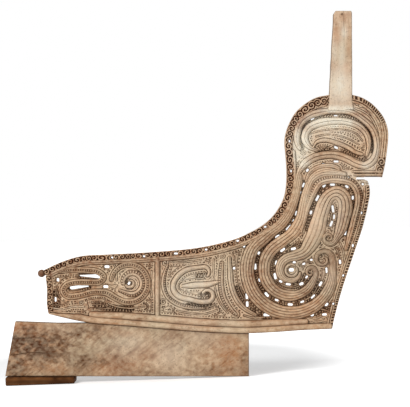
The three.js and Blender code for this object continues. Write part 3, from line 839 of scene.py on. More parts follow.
def tooth_pattern(along, across, half, pitch):
    """Two plain ridges beside the ground, and a row of teeth that lean a little beside the edge."""
    share = across / half
    teeth = eased((0.5 + 0.5 * wave(along / pitch + TOOTH_LEAN * share)) * 1.7 - 0.3)
    ridges = eased(0.15 + 1.1 * np.abs(np.cos(np.pi * (share + 1) / PLAIN_RIDGE + np.pi / 2)))
    return np.where(share < 0.05, ridges, teeth)


def cheek_pattern(along, across, half, pitch):
    """Teeth along the brow, then plain ridges, then curls beside the mouth."""
    teeth = tooth_pattern(along, across, half, pitch)
    plain = eased(0.3 + 1.1 * np.abs(np.cos(np.pi * (across / half + 1) / PLAIN_RIDGE)))
    curls = curl_pattern(along, across, half, MOUTH_CURL)
    brow = eased((along - BROW_END) / 20)
    mouth = eased((along - MOUTH_START) / 8)
    return (teeth + (plain - teeth) * brow) * (1 - mouth) + curls * mouth


# Pattern of each strip: the function, its pitch, how red it is and how dark its cuts are, with grime
# and painted shade
STRIP_CUTS = {
    "rim_strip": (curl_pattern, 16.0, 1.0, 0.6),
    "dome_strip": (cheek_pattern, 6.4, 0.4, 0.7),
    "shoulder_strip": (tooth_pattern, 6.6, 0.35, 0.75),
    "end_strip": (curl_pattern, 15.0, 0.7, 0.6),
}


def edge_strip(name, material, seed):
    """Carved strip along an edge of the board: a pattern sunk between two thin plain lips."""
    pattern, pitch, red, dark = STRIP_CUTS[name]
    even, path, half = resampled(STRIPS[name][0], STRIP_STEP, STRIPS[name][1])
    across = np.linspace(-1, 1, round(2 * half.max() / STRIP_ROW) + 1)[:, None]
    reach = half * across
    u, w, keep = pierced(*off_line(path, reach))
    uneven = even + 6 * ripple(even, 0, 34, 1, seed)
    lips = eased((np.abs(across) - LIP_START) / 0.12)
    level = np.maximum(pattern(uneven, reach, half, pitch), lips)
    hole = slot_distance(u, w)
    level = np.maximum(level * eased(hole / 1.5), bell(hole - 2.2, 1.2))
    edge_round = 1.6 * held((np.abs(across) - LIP_START - 0.1) / 0.12) ** 2
    height = RIM - cut_size("tooth_depth") * (1 - level) - edge_round
    height = np.minimum(height + 0.25 * ripple(u, w, 9, 9, seed + 3), RIM)
    # The pattern's cuts are darkened with grime and painted shade.
    tones = {"groove": dark * (1 - level), "crest": level, **pigments(u, w)}
    tones["red"] = np.maximum(tones["red"], red) * (1 - 0.7 * level)
    tones["lime"] = tones["lime"] * 0.5
    tones["warm"] = np.maximum(tones["warm"], 0.75 * red)
    return plate(name, u, w, height, tones, material, keep)


def knob_piece(material):
    """Bulb at the board's low corner: an egg with a shallow waist cut round it."""
    middle_u, middle_w = KNOB
    half_u, half_depth, half_w = KNOB_HALF
    turn = np.linspace(0.12, math.pi - 0.12, 22)[:, None]
    around = np.linspace(0, 2 * math.pi, 40, endpoint=False)
    reach = np.sin(turn) * (1 - 0.1 * bell(turn - 0.9, 0.16))
    u = middle_u + half_u * np.cos(turn) + 0 * around
    w = middle_w + half_w * reach * np.sin(around)
    rings = placed(u, half_depth * reach * np.cos(around), w)
    tones = {"groove": 0.35, "crest": 0.3, "red": 0.9, "lime": 0.0, "warm": 0.0, "stain": 0.0}
    return ringed("knob", rings, tones, material, "prow_board")


# Sunk ground

def nearest_edges(axis_u, axis_w, lines, reach=REACH):
    """For each point of a grid, the line whose edge is nearest.

    Gives the distance from that edge, negative inside, the way along the line and its number."""
    edge = np.full((len(axis_w), len(axis_u)), reach)
    along = np.zeros_like(edge)
    owner = np.full(edge.shape, -1)
    for number, (line, half) in enumerate(lines):
        stops, path, halves = resampled(line, FIELD_STEP, half)
        for i in range(len(stops) - 1):
            a, b = path[i], path[i + 1]
            widest = reach + max(halves[i], halves[i + 1])
            (left, low), (right, high) = np.minimum(a, b) - widest, np.maximum(a, b) + widest
            window = (slice(*np.searchsorted(axis_w, (low, high))),
                      slice(*np.searchsorted(axis_u, (left, right))))
            if not edge[window].size:
                continue
            du = axis_u[None, window[1]] - a[0]
            dw = axis_w[window[0], None] - a[1]
            run, rise = b - a
            share = held((du * run + dw * rise) / (run * run + rise * rise))
            gap = np.hypot(du - share * run, dw - share * rise)
            gap -= halves[i] + (halves[i + 1] - halves[i]) * share
            nearer = gap < edge[window]
            edge[window][nearer] = gap[nearer]
            along[window][nearer] = (stops[i] + share * (stops[i + 1] - stops[i]))[nearer]
            owner[window][nearer] = number
    return edge, along, owner


def inside(polygon, axis_u, axis_w):
    """Whether each point of a grid is inside: its row crosses the outline an odd number of times."""
    a, b = polygon, np.roll(polygon, -1, axis=0)
    low, high = np.minimum(a[:, 1], b[:, 1]), np.maximum(a[:, 1], b[:, 1])
    rise = np.where(high - low < 1e-9, 1e-9, b[:, 1] - a[:, 1])
    crosses = (axis_w[:, None] >= low) & (axis_w[:, None] < high)
    where = a[:, 0] + (axis_w[:, None] - a[:, 1]) / rise * (b[:, 0] - a[:, 0])
    where = np.sort(np.where(crosses, where, np.inf), axis=1)
    most = int(crosses.sum(1).max())
    return (where[:, None, :most] < axis_u[None, :, None]).sum(-1) % 2 == 1


def board_outline(inset):
    """Outline of the sunk ground: a little inside the board's edges, with the notch under the chin."""
    return np.vstack([
        beside(FOOT_EDGE, inset)[2:-2],
        beside(SHOULDER_EDGE, -inset)[::-1],
        SHOULDER_CORNER[::-1],
        [NOTCH_TOP],
        beside(DOME_EDGE, -inset)[::-1],
        beside(TOP_EDGE, -inset)[::-1],
        beside(END_EDGE, inset),
    ])


def slit_bevel(hole):
    """Most half thickness beside a piercing: it rises evenly with the distance."""
    return 5.0 + 2.4 * np.maximum(hole, 0)


def ground_height(edge, along, owner, hole, deepness, in_panel, calm):
    """Half thickness of the sunk ground and how near its top it is, from 0 to 1.

    Both repeat with the distance from the nearest carved line. Shallow ground has a groove, a plain
    ridge and a row of pits; deep ground has a groove, a row of teeth and a thin ridge."""
    period = cut_size("row_pitch")
    pitch = cut_size("tooth_pitch") * np.where(owner % 2 == 0, 1.0, CLOSE_TEETH)
    phase = (edge % period) / period
    beat = (0.5 + 0.5 * wave(along / pitch + 0.13 * owner)) * (1 - calm)
    line = held(1 - np.minimum(phase, 1 - phase) / LINE_HALF)
    pits = eased(beat * 1.9 - 0.5) * held(1.25 - np.abs(phase - PIT_PLACE) / PIT_HALF)
    shallow = 1 - np.maximum(0.9 * line, pits)
    row = eased((phase - TOOTH_FOOT) / FLANK) * eased((TOOTH_END - phase) / FLANK)
    ridge = eased((phase - THIN_RIDGE) / FLANK) * eased((1.0 - phase) / FLANK)
    deep = np.maximum(row * np.maximum(eased(beat * 1.6 - 0.35) * 0.85, 0.7 * calm), ridge)
    level = shallow + (deep - shallow) * deepness
    low = np.where(in_panel, PANEL - 3.0, SHALLOW - (SHALLOW - DEEP) * deepness)
    rise = np.where(in_panel, 2.8, 3.2 + 3.0 * deepness)
    height = np.where(edge > 0, low + rise * level, UNDER_BANDS)
    # Next to a band the level falls away, so the ground's cuts are darkened there: painted shade at the
    # band's foot.
    level = np.maximum(level * eased(edge / 0.8 + 0.2), 0.95 * bell(hole - 1.9, 1.3))
    return np.minimum(height, slit_bevel(hole)), level


def ground_sheet(material):
    """Ground of the whole board on one grid of square cells, cut up into its panels."""
    axis_u = np.arange(SHEET[0], SHEET[1], GROUND_CELL)
    axis_w = np.arange(SHEET[2], SHEET[3], GROUND_CELL)
    covers = [cut_back(line, half) for line, half, _ in BAND_LINES.values()]
    covers += [cut_back(line, half) for line, half in STRIPS.values()]
    curls = [(smooth_line(points), width / 2) for points, width in CURLS]
    cuts = [(smooth_line([slit[:2] for slit in row]), SLIT_CUT) for row in SLIT_ROWS]
    cuts += [(smooth_line(points), LINE_CUT) for points in DEEP_LINES]
    under, _, _ = nearest_edges(axis_u, axis_w, covers, 6.0)
    edge, along, owner = nearest_edges(axis_u, axis_w, covers + curls)
    curl_edge, _, _ = nearest_edges(axis_u, axis_w, curls, 8.0)
    cut, _, _ = nearest_edges(axis_u, axis_w, cuts, 10.0)
    deepness = eased(1 - cut / CUT_SLOPE)
    in_panel = inside(smooth_line(np.vstack([EYE_PANEL, EYE_PANEL[:1]])), axis_u, axis_w)
    keep = inside(board_outline(GROUND_INSET), axis_u, axis_w) & (under > -GROUND_LAP)
    keep = keep[:-1, :-1] & keep[1:, :-1] & keep[:-1, 1:] & keep[1:, 1:]
    u, w, keep = pierced(*np.meshgrid(axis_u, axis_w), keep)
    hole = slot_distance(u, w)
    along = along + 1.6 * ripple(u, w, 19, 19, 12)
    edge_wave = np.where(edge > 0, np.maximum(edge + 0.5 * ripple(u, w, 13, 13, 13), 0.01), edge)
    calm = patches(u, w, CALM_PATCHES)
    height, level = ground_height(edge_wave, along, owner, hole, deepness, in_panel, calm)
    ridge = eased(0.4 - curl_edge)
    curl_top = np.where(in_panel, PANEL + 1.0, CURL_TOP)
    height = np.maximum(height, np.where(under > 0, ridge * curl_top, 0))
    height = np.minimum(height + 0.3 * ripple(u, w, 7, 7, 11), slit_bevel(hole))
    level = np.maximum(level, ridge)
    # The ground's cuts are darker: grime and painted shade.
    cut_dirt_and_shade = held(1.0 - level) * (0.8 - 0.2 * deepness) * np.where(in_panel, 1.15, 1)
    tones = pigments(u, w)
    tones["groove"] = limed(cut_dirt_and_shade, u, w)
    tones["crest"] = level * (1 - 0.2 * deepness)
    tones["lime"] = np.maximum(tones["lime"], 0.75 * ridge * tones["red"])
    tones["red"] = tones["red"] * (1 - 0.3 * level) * (1 - 0.8 * ridge)
    for name, (u0, u1, w0, w1) in GROUND_PANELS.items():
        i0, i1 = np.flatnonzero((axis_u[:-1] >= u0) & (axis_u[:-1] < u1))[[0, -1]] + (0, 2)
        j0, j1 = np.flatnonzero((axis_w[:-1] >= w0) & (axis_w[:-1] < w1))[[0, -1]] + (0, 2)
        box = (slice(j0, j1), slice(i0, i1))
        own_tones = {t: v[box] for t, v in tones.items()}
        plate(name, u[box], w[box], height[box], own_tones, material, keep[j0:j1 - 1, i0:i1 - 1])


# Plain timbers

def post_piece(material):
    """Plain tapering post: a plate between slanting sides, its corners rounded by a quarter circle."""
    top = POST_TOP
    rows = np.concatenate([np.arange(POST_FOOT, top - 3, 2.0), top - np.array([3, 2, 1.2, 0.5, 0])])
    corner = np.array([0.9, 0.95, 0.985, 1])
    across = np.concatenate([-corner[::-1], np.linspace(-0.85, 0.85, 27), corner])
    left = np.interp(rows, [POST_FOOT, 575, 596, top - 7, top], [197.5, 200, 201.2, 212.3, 217])
    right = np.interp(rows, [POST_FOOT, 575, 596, top - 4, top], [262.5, 259.8, 258.8, 257.8, 256])
    left = (left + 0.35 * ripple(rows, 0, 21, 1, 61))[:, None]
    right = (right - 0.35 * np.abs(ripple(rows, 0, 17, 1, 62)))[:, None]
    w, q = np.meshgrid(rows, across, indexing="ij")
    u = (left + right) / 2 + q * (right - left) / 2
    side = (1 - np.abs(q)) * (right - left) / 2
    rounded = POST_ROUND - np.sqrt(POST_ROUND ** 2 - (POST_ROUND - np.clip(side, 0, POST_ROUND)) ** 2)
    rounded = rounded + 0.8 * (2.5 - np.clip(top - w, 0, 2.5))
    pit = np.hypot(u - POST_PIT[0], w - POST_PIT[1])
    crack = bell(u - 238 - 1.5 * ripple(w, 0, 30, 1, 63), 0.7) * eased((w - 700) / 40)
    height = POST - 0.5 - rounded + 0.45 * ripple(u, w, 11, 60, 3)
    height -= 2.5 * bell(pit, 2.2) + 0.8 * crack
    tones = {
        # Dark in the pit and the crack with grime and painted shade, and painted shade along both
        # rounded sides.
        "groove": np.maximum(bell(pit, 2.6), 0.4 * crack) + 0.5 * held((1.2 - side) / 1.2),
        "crest": 0.45 + 0.25 * ripple(u, w, 9, 40, 4),
        **pigments(u, w),
    }
    return plate("post", u, w, np.minimum(height, POST), tones, material)


def seam_height(u):
    """Height of the seam between the board and the tongue."""
    return np.interp(u, FOOT_EDGE[:, 0], FOOT_EDGE[:, 1])


def adze_strokes(u, w, size, seed):
    """Shallow hollows left by the adze, drawn out from lower left to upper right."""
    return ripple(w - 0.8 * u, u + 0.8 * w, size, 6 * size, seed)


def tongue_piece(material):
    """Adzed plank between the level underside and the line of the seam, dished by slanting strokes."""
    share_w, share_u = np.meshgrid(np.linspace(0, 1, 104), np.linspace(0, 1, 300), indexing="ij")
    top_u = -TONGUE_TOP_LENGTH * (1 - share_u[0])
    seam_start = seam_height(SEAM_END) - FIT
    tail = np.interp(top_u, [-TONGUE_TOP_LENGTH, -480, SEAM_END], [28.7, 24.8, seam_start])
    top = np.where(top_u > SEAM_END, seam_height(top_u) - FIT, tail)
    w = -TONGUE_HEIGHT + share_w * (top + TONGUE_HEIGHT)
    left = -TONGUE_LENGTH + (TONGUE_LENGTH - TONGUE_TOP_LENGTH) * share_w
    u = left * (1 - share_u)
    strokes = 0.5 * adze_strokes(u, w, 9, 21) + 0.5 * adze_strokes(u, w, 4, 22)
    strokes *= 0.2 + 0.8 * eased(0.4 + ripple(u, w, 45, 30, 27))
    edge = np.minimum(np.minimum(u - left, -u), np.minimum(w + TONGUE_HEIGHT, top - w))
    crack = bell(w + 52 - 6 * ripple(u, 0, 60, 1, 8), 1.0) * eased((-440 - u) / 110)
    high_crack = bell(w - 4 - 0.03 * u, 0.8) * eased((-500 - u) / 60)
    height = TONGUE - 1.3 - 2.2 * held(1 - edge / 2.6) ** 2 + 1.1 * strokes
    height -= 2.0 * crack + 1.6 * high_crack
    hollow = eased(-1.3 * strokes - 0.15)
    pits = eased((ripple(u, w, 2.6, 2.6, 25) - 0.72) / 0.2) * eased(ripple(u, w, 30, 30, 26) + 0.6)
    # Dark in the cracks, the adze hollows and the pits with grime and painted shade, and painted shade
    # along the plank's rounded edges.
    cuts = np.max([0.8 * crack, 0.7 * high_crack, 0.22 * hollow, 0.35 * held(1 - edge / 2)], axis=0)
    # Painted shadow along the top of the tongue, under the board's overhanging foot.
    seam = np.exp((w - top) / 5) * (u > -400)
    cloudy = 0.95 + 0.5 * ripple(u, w, 15, 10, 23) + 0.4 * ripple(u, w, 6, 4, 24)
    tones = pigments(u, w, TONGUE_PATCHES)
    tones["stain"] *= cloudy + 0.25 * adze_strokes(u, w, 4, 28)
    tones["groove"] = cuts + 0.45 * pits + 0.4 * seam
    tones["crest"] = 0.4 + 0.4 * strokes
    return plate("adzed_tongue", u, w, np.clip(height, 3, TONGUE), tones, material,
                 replaces="hull_tongue")


def block_piece(material):
    """Worn wedge: sections like rounded rectangles, drawn in at both ends by a quarter circle."""
    low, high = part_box("foot_block")
    length = high.x - low.x
    tip = BLOCK_ROUND
    ease = tip * (1 - np.cos(np.linspace(0, math.pi / 2, 7)))
    body = np.linspace(tip, length - tip, 40)[1:-1]
    x = np.concatenate([ease, body, length - ease[::-1]])[:, None]
    inset = np.minimum(np.minimum(x, length - x) / tip, 1)
    shrink = tip * (1 - np.sqrt(1 - (1 - inset) ** 2))
    top = ((TONGUE_LENGTH - BLOCK_INSET) * math.sin(LEAN) - FIT) / 1000 - x * math.tan(LEAN)
    angle = np.linspace(0, 2 * math.pi, 96, endpoint=False) + 0.01
    side, lift = (np.sign(v) * np.abs(v) ** BLOCK_CORNER for v in (np.cos(angle), np.sin(angle)))
    y = ((high.y - low.y) / 2 - shrink) * side
    z = top / 2 + np.maximum(top / 2 - shrink * 0.8, 0.001) * lift
    x = low.x + x + np.zeros_like(y)
    y = y * (1 - 0.006 * (1 + ripple(x * 1000, z * 1000, 30, 6, 4)))
    z = np.maximum(z, 0)
    from_tail = (x - low.x) / length
    # Darker over the block's right part, short of its end, with random dark patches; painted shade on
    # the top face under the tongue and on the bottom face by the floor.
    dark = 0.2 + 0.35 * eased((from_tail - 0.6) / 0.15) * eased((0.97 - from_tail) / 0.08)
    dark = dark + 0.9 * held(np.abs(lift) - 0.6) + 0.45 * ripple(x * 1000, z * 1000, 11, 7, 5)
    rings = np.stack([x, y, z], axis=-1)
    tones = {"groove": held(dark), "crest": 0.3}
    return ringed("prop_block", rings, tones, material, "foot_block")


# Materials

MADE = {}


def shared(maker):
    """What the function makes, made once: a material or a node group."""
    if maker not in MADE:
        MADE[maker] = maker()
    return MADE[maker]


class Nodes:
    """Short way to write a node tree: each call adds a node and links or sets its inputs."""

    def __init__(self, tree):
        self.tree = tree

    def add(self, kind, inputs=(), **choices):
        """New node with its choices set; an input is a value or another node's output."""
        node = self.tree.nodes.new("ShaderNode" + kind)
        for key, value in choices.items():
            setattr(node, key, value)
        for key, value in dict(inputs).items():
            if isinstance(value, bpy.types.NodeSocket):
                self.tree.links.new(value, node.inputs[key])
            else:
                node.inputs[key].default_value = value
        return node

    def mixed(self, factor, first, second, blend="MIX"):
        """The first colour with the second laid over it."""
        node = self.add("Mix", {0: factor, 6: first, 7: second}, data_type="RGBA", blend_type=blend)
        return node.outputs[2]

    def math(self, operation, *values, clamp=False):
        """Any other sum of numbers."""
        return self.add("Math", enumerate(values), operation=operation, use_clamp=clamp).outputs[0]

    def times(self, first, *others):
        """Product of numbers."""
        for other in others:
            first = self.math("MULTIPLY", first, other)
        return first

    def plus(self, first, second):
        """Sum of two numbers."""
        return self.math("ADD", first, second)

    def ramp(self, value, low, high):
        """Smooth step from 0 to 1 between two values."""
        node = self.add("MapRange", {0: value, 1: low, 2: high}, interpolation_type="SMOOTHSTEP")
        return node.outputs[0]

    def noise(self, vector, scale, detail, distortion=0.0):
        """Outputs of a noise: the first is a number."""
        return self.add("TexNoise", {
            "Vector": vector, "Scale": scale, "Detail": detail, "Distortion": distortion}).outputs

    def drawn_out(self, vector, share):
        """Places squeezed along X, so that a pattern on them is drawn out along it."""
        return self.add("Mapping", {0: vector, 3: (share, 1.0, 1.0)}).outputs[0]

    def tone(self, name):
        """One of the piece's own tones."""
        return self.add("Attribute", attribute_name=name).outputs["Fac"]

    def put(self, sockets, **values):
        """Links values to a group's own outputs."""
        for name, value in values.items():
            self.tree.links.new(value, sockets[name])
        return self.tree


def group(name, inputs, outputs):
    """Empty node group with its sockets: its nodes, what it is given and what it puts out.

    An input has its default; one without is a colour or a vector, by its name's last word."""
    tree = bpy.data.node_groups.new(name, "ShaderNodeTree")
    for label, value in inputs.items():
        kind = label.split()[-1] if value is None else "Float"
        made = tree.interface.new_socket(label, in_out="INPUT", socket_type="NodeSocket" + kind)
        if value is not None:
            made.default_value = value
    for label in outputs:
        kind = "Color" if label == "Color" else "Float"
        tree.interface.new_socket(label, in_out="OUTPUT", socket_type="NodeSocket" + kind)
    given = tree.nodes.new("NodeGroupInput").outputs
    return Nodes(tree), given, tree.nodes.new("NodeGroupOutput").inputs


def wood_grain():
    """Wood grain: noise drawn out along X gives broad figure, fine fibres and short dark pores."""
    n, given, out = group("wood_grain", {"Vector": None, "Figure": 22.0, "Fibre": 240.0},
                          ["Figure", "Fibre", "Pores", "Height"])
    long_way = n.drawn_out(given["Vector"], 0.09)
    figure = n.ramp(n.noise(long_way, given["Figure"], 4.0, 0.8)[0], 0.32, 0.68)
    fibre = n.ramp(n.noise(long_way, given["Fibre"], 3.0)[0], 0.3, 0.7)
    pores = n.ramp(n.noise(n.drawn_out(given["Vector"], 0.16), 420.0, 2.0)[0], 0.6, 0.75)
    raised = n.math("SUBTRACT", n.times(fibre, 0.5), pores)
    return n.put(out, Figure=figure, Fibre=fibre, Pores=pores, Height=raised)


def aged_and_shaded_surface():
    """Ageing of carved wood: grime and painted shade in the cuts, pale rubbed crests and soft uneven
    blotches.
    """
    n, given, out = group("aged_and_shaded_surface", {
        "Color": None, "Vector": None, "Cut": 0.0, "Crest": 0.0, "Dirt Color": None,
        "Worn Color": None, "Wear": 0.5, "Blotch": 0.5, "Specks": 0.3}, ["Color", "Roughness"])
    here = given["Vector"]
    close = n.noise(n.drawn_out(here, 0.7), 130.0, 4.0)[0]
    blotch = n.times(n.ramp(n.noise(here, 13.0, 5.0)[0], 0.35, 0.72), given["Blotch"])
    shade = n.mixed(blotch, given["Color"], linear(160, 116, 84), "MULTIPLY")
    rubbed = n.times(given["Crest"], given["Wear"], n.ramp(close, 0.25, 0.7))
    worn = n.mixed(rubbed, shade, given["Worn Color"])
    specks = n.times(n.ramp(n.noise(here, 260.0, 2.0)[0], 0.6, 0.7), given["Specks"])
    # The Cut tone darkens the cuts with grime and painted shade.
    in_cuts = n.times(given["Cut"], n.plus(0.82, n.times(close, 0.36)))
    dirt_and_shade = n.math("MAXIMUM", in_cuts, specks, clamp=True)
    rough = n.plus(0.66, n.times(close, 0.22))
    return n.put(out, Color=n.mixed(dirt_and_shade, worn, given["Dirt Color"]), Roughness=rough)


def new_material(name):
    """Material with an empty node tree."""
    material = bpy.data.materials.new(name)
    material.use_nodes = True
    material.node_tree.nodes.clear()
    return material, Nodes(material.node_tree)


def bare_wood(name, turn, figure):
    """Start of a wood: the material, its nodes, the object's own places and the turned grain."""
    material, n = new_material(name)
    here = n.add("TexCoord").outputs["Object"]
    lie = n.add("Mapping", {0: here, 2: turn}).outputs[0]
    grain = n.add("Group", {"Vector": lie, "Figure": figure}, node_tree=shared(wood_grain)).outputs
    return material, n, here, grain


def finished(wood, colour, relief, specular, **ageing):
    """The wood's colour aged and darkened in its cuts with grime and painted shade, with the grain as
    its relief.
    """
    material, n, here, grain = wood
    aged = n.add("Group", {
        "Color": colour, "Vector": here, "Cut": n.tone("groove"), "Dirt Color": tint("cut"),
        "Worn Color": tint("worn"), **ageing}, node_tree=shared(aged_and_shaded_surface)).outputs
    bump = n.add("Bump", {"Strength": relief, "Distance": GRAIN_DEPTH, "Height": grain["Height"]})
    shader = n.add("BsdfPrincipled", {
        "Base Color": aged["Color"], "Roughness": aged["Roughness"], "Normal": bump.outputs[0],
        "Specular IOR Level": specular})
    n.add("OutputMaterial", {"Surface": shader.outputs[0]})
    return material


def timber(name, turn, kind, figure, strengths, figured=0.3, fibrous=0.3):
    """Old timber: grain between two browns, drifting grey and dark, stained by its tones, then aged."""
    wood = bare_wood(name, turn, figure)
    _, n, here, grain = wood
    uneven = n.ramp(n.noise(here, 60.0, 5.0)[0], 0.34, 0.62)
    lines = n.plus(n.times(grain["Figure"], figured), n.times(grain["Fibre"], fibrous))
    streaks = n.plus(lines, n.times(uneven, 1 - fibrous - figured))
    colour = n.mixed(streaks, tint(kind + "_pale"), tint(kind + "_deep"))
    drift = n.add("SeparateColor", {0: n.noise(here, 9.0, 4.0)["Color"]}).outputs
    colour = n.mixed(n.times(n.ramp(drift[0], 0.48, 0.66), 0.5), colour, tint("bloom"))
    colour = n.mixed(n.times(n.ramp(drift[1], 0.5, 0.68), 0.3), colour, tint("stain"))
    worn_through = n.plus(0.6, n.times(uneven, 0.4))
    for tone, strength in strengths.items():
        colour = n.mixed(n.times(n.tone(tone), strength, worn_through), colour, tint(tone))
    colour = n.mixed(n.times(grain["Pores"], 0.25), colour, tint("cut"))
    unlimed = n.math("SUBTRACT", 1.0, n.tone("lime"), clamp=True)
    return finished(wood, colour, 0.35, 0.12, Crest=n.tone("crest"), Wear=0.5,
                    Blotch=n.times(unlimed, 0.5))


def board_wood():
    """Carved board: the grain runs along the sheet."""
    return timber("carved_board_wood", (0, LEAN, 0), "board", 26.0,
                  {"warm": 0.6, "stain": 0.55, "lime": 1.0, "red": 1.0}, figured=0.12)


def post_wood():
    """Post: the grain runs up it."""
    return timber("post_wood", (0, math.pi / 2 + LEAN, 0), "post", 34.0,
                  {"warm": 0.45, "stain": 0.4, "lime": 0.8})


def tongue_wood():
    """Adzed tongue: the fibres lie with the slanting strokes."""
    return timber("adzed_tongue_wood", (0, math.radians(30), 0), "tongue", 30.0,
                  {"warm": 0.45, "lime": 0.5, "red": 0.6, "stain": 0.95}, figured=0.1, fibrous=0.14)


def dark_wood(name, turn):
    """Dark tropical wood of the block and the pins, with fine dusty grain."""
    wood = bare_wood(name, turn, 30.0)
    _, n, _, grain = wood
    colour = n.mixed(grain["Figure"], tint("block_deep"), tint("block_pale"))
    colour = n.mixed(n.times(grain["Pores"], 0.5), colour, tint("cut"))
    return finished(wood, colour, 0.5, 0.05, Crest=0.3, Wear=0.05)


def block_wood():
    """Prop block: the grain lies level."""
    return dark_wood("dark_block_wood", (0, 0, 0))


def pin_wood():
    """Pins: the grain runs up them."""
    return dark_wood("pin_wood", (0, math.pi / 2, 0))


# Sizes and colours

def length(name, text, millimetres):
    """Size in the sidebar."""
    return FloatProperty(name=name, description=text, default=millimetres / 1000,
                         unit="LENGTH", subtype="DISTANCE")


def colour(name, text, *rgb):
    """Colour in the sidebar."""
    return FloatVectorProperty(name=name, description=text, default=linear(*rgb), subtype="COLOR",
                               size=4, min=0.0, max=1.0)


class ProwSizes(bpy.types.PropertyGroup):
    """Sizes of the carving that a user would change"""
    groove_depth: length("Groove depth", "Depth of the V grooves between the ridges of a band", 2.6)
    tooth_pitch: length("Tooth pitch", "Distance from one tooth of the ground to the next", 7.4)
    tooth_depth: length("Tooth depth", "How deep the teeth of the edge strips are cut", 6.0)
    row_pitch: length("Row pitch", "Distance from one row of teeth to the next", 9.2)


class ProwColours(bpy.types.PropertyGroup):
    """Colours of the wood, its stains and its pigments"""
    board_pale: colour("Board, pale", "Light streaks of the carved board", 214, 179, 144)
    board_deep: colour("Board, deep", "Dark streaks of the carved board", 171, 132, 98)
    post_pale: colour("Post, pale", "Light streaks of the post", 222, 197, 170)
    post_deep: colour("Post, deep", "Dark streaks of the post", 182, 150, 122)
    tongue_pale: colour("Tongue, pale", "Light streaks of the tongue", 208, 180, 148)
    tongue_deep: colour("Tongue, deep", "Dark streaks of the tongue", 152, 114, 80)
    block_pale: colour("Block, pale", "Light streaks of the prop block", 132, 84, 44)
    block_deep: colour("Block, deep", "Dark streaks of the prop block", 44, 24, 11)
    # The cut colour is grime and painted shade in the grooves and pits, and dirt in the pores.
    cut: colour("Cuts", "Dirt in grooves, pores and pits", 56, 30, 11)
    worn: colour("Worn crests", "Wood rubbed pale on the ridges", 230, 208, 176)
    warm: colour("Orange stain", "Warm stain in the wood", 196, 126, 70)
    red: colour("Red pigment", "Remains of red pigment on the rim", 116, 52, 20)
    lime: colour("Lime", "Remains of white lime", 232, 224, 206)
    stain: colour("Dark stain", "Damp stain in the wood", 84, 45, 14)
    bloom: colour("Grey bloom", "Grey bloom on old bare wood", 186, 174, 146)


# Stage

def paper_floor(scene):
    """Wide pale floor that looks white away from the object and keeps its shadow near it."""
    mesh = bpy.data.meshes.new("floor")
    mesh.from_pydata([(-9, -6, 0), (9, -6, 0), (9, 20, 0), (-9, 20, 0)], [], [(0, 1, 2, 3)])
    floor = bpy.data.objects.new("floor", mesh)
    scene.collection.objects.link(floor)
    material, n = new_material("floor_paper")
    path = n.add("LightPath").outputs
    seen = n.math("MAXIMUM", path["Is Camera Ray"], path["Is Glossy Ray"], clamp=True)
    here = n.add("TexCoord").outputs["Object"]
    lie = n.add("Mapping", {0: here, 1: (0.2, -0.5, 0), 3: (1.3, 1, 1)}).outputs[0]
    far = n.add("VectorMath", {0: lie}, operation="LENGTH").outputs["Value"]
    glow = n.plus(0.34, n.times(n.ramp(far, 0.54, 0.88), 0.6))
    paper = n.add("BsdfPrincipled", {
        "Base Color": (*[FLOOR_WHITE] * 3, 1), "Roughness": 0.9, "Emission Color": (1, 1, 1, 1),
        "Emission Strength": n.times(seen, glow)})
    n.add("OutputMaterial", {"Surface": paper.outputs[0]})
    mesh.materials.append(material)


def white_room(scene):
    """White behind the object, and a plain grey level of light from all sides."""
    world = bpy.data.worlds.new("room")
    world.use_nodes = True
    n = Nodes(world.node_tree)
    n.tree.nodes.clear()
    path = n.add("LightPath").outputs
    seen = n.math("MAXIMUM", path["Is Camera Ray"], path["Is Glossy Ray"])
    seen = n.math("MAXIMUM", seen, path["Is Transmission Ray"])
    light = n.add("Background", {"Color": (0.97, 0.985, 1.0, 1), "Strength": 0.3})
    white = n.add("Background", {"Color": (1, 1, 1, 1), "Strength": 1.0})
    mixed = n.add("MixShader", {0: seen, 1: light.outputs[0], 2: white.outputs[0]})
    n.add("OutputWorld", {"Surface": mixed.outputs[0]})
    scene.world = world


def soft_lamp(scene, name, place, size, watts):
    """Round lamp that points at the middle of the board."""
    data = bpy.data.lights.new(name, "AREA")
    data.shape = "DISK"
    data.size = size
    data.energy = watts
    lamp = bpy.data.objects.new(name, data)
    turn = (Vector(LIT_PLACE) - Vector(place)).to_track_quat("-Z", "Y").to_matrix().to_4x4()
    lamp.matrix_world = Matrix.Translation(place) @ turn
    scene.collection.objects.link(lamp)


def level_camera(scene):
    """Camera square to the sheet and turned by the lean, at the photo's scale."""
    middle = Vector(placed(np.array(SHEET_MIDDLE[0]), np.array(0.0), np.array(SHEET_MIDDLE[1])))
    right = Vector((math.cos(LEAN), 0, -math.sin(LEAN)))
    up = Vector((math.sin(LEAN), 0, math.cos(LEAN)))
    back = Vector((0, -1, 0))
    data = bpy.data.cameras.new("camera")
    data.sensor_width = 36
    data.lens = data.sensor_width * CAMERA_DISTANCE / (PICTURE_WIDTH * MILLIMETRES_A_PIXEL / 1000)
    camera = bpy.data.objects.new("camera", data)
    turn = Matrix((right, up, back)).transposed().to_4x4()
    camera.matrix_world = Matrix.Translation(middle + back * (CAMERA_DISTANCE + BAND / 1000)) @ turn
    scene.collection.objects.link(camera)
    scene.camera = camera


class PROW_OT_stage(bpy.types.Operator):
    """Pale floor, white room, soft lamps and the camera"""
    bl_idname = "prow.make_stage"
    bl_label = "Make the stage"

    def execute(self, context):
        paper_floor(context.scene)
        white_room(context.scene)
        for name, (place, size, watts) in LAMPS.items():
            soft_lamp(context.scene, name, place, size, watts)
        level_camera(context.scene)
        context.scene.view_settings.view_transform = "Standard"
        return {"FINISHED"}


class PROW_OT_ground(bpy.types.Operator):
    """Sunk ground of the board: rows of teeth, curls and piercings between the bands"""
    bl_idname = "prow.make_ground"
    bl_label = "Carve the ground"

    def execute(self, context):
        ground_sheet(shared(board_wood))
        return {"FINISHED"}


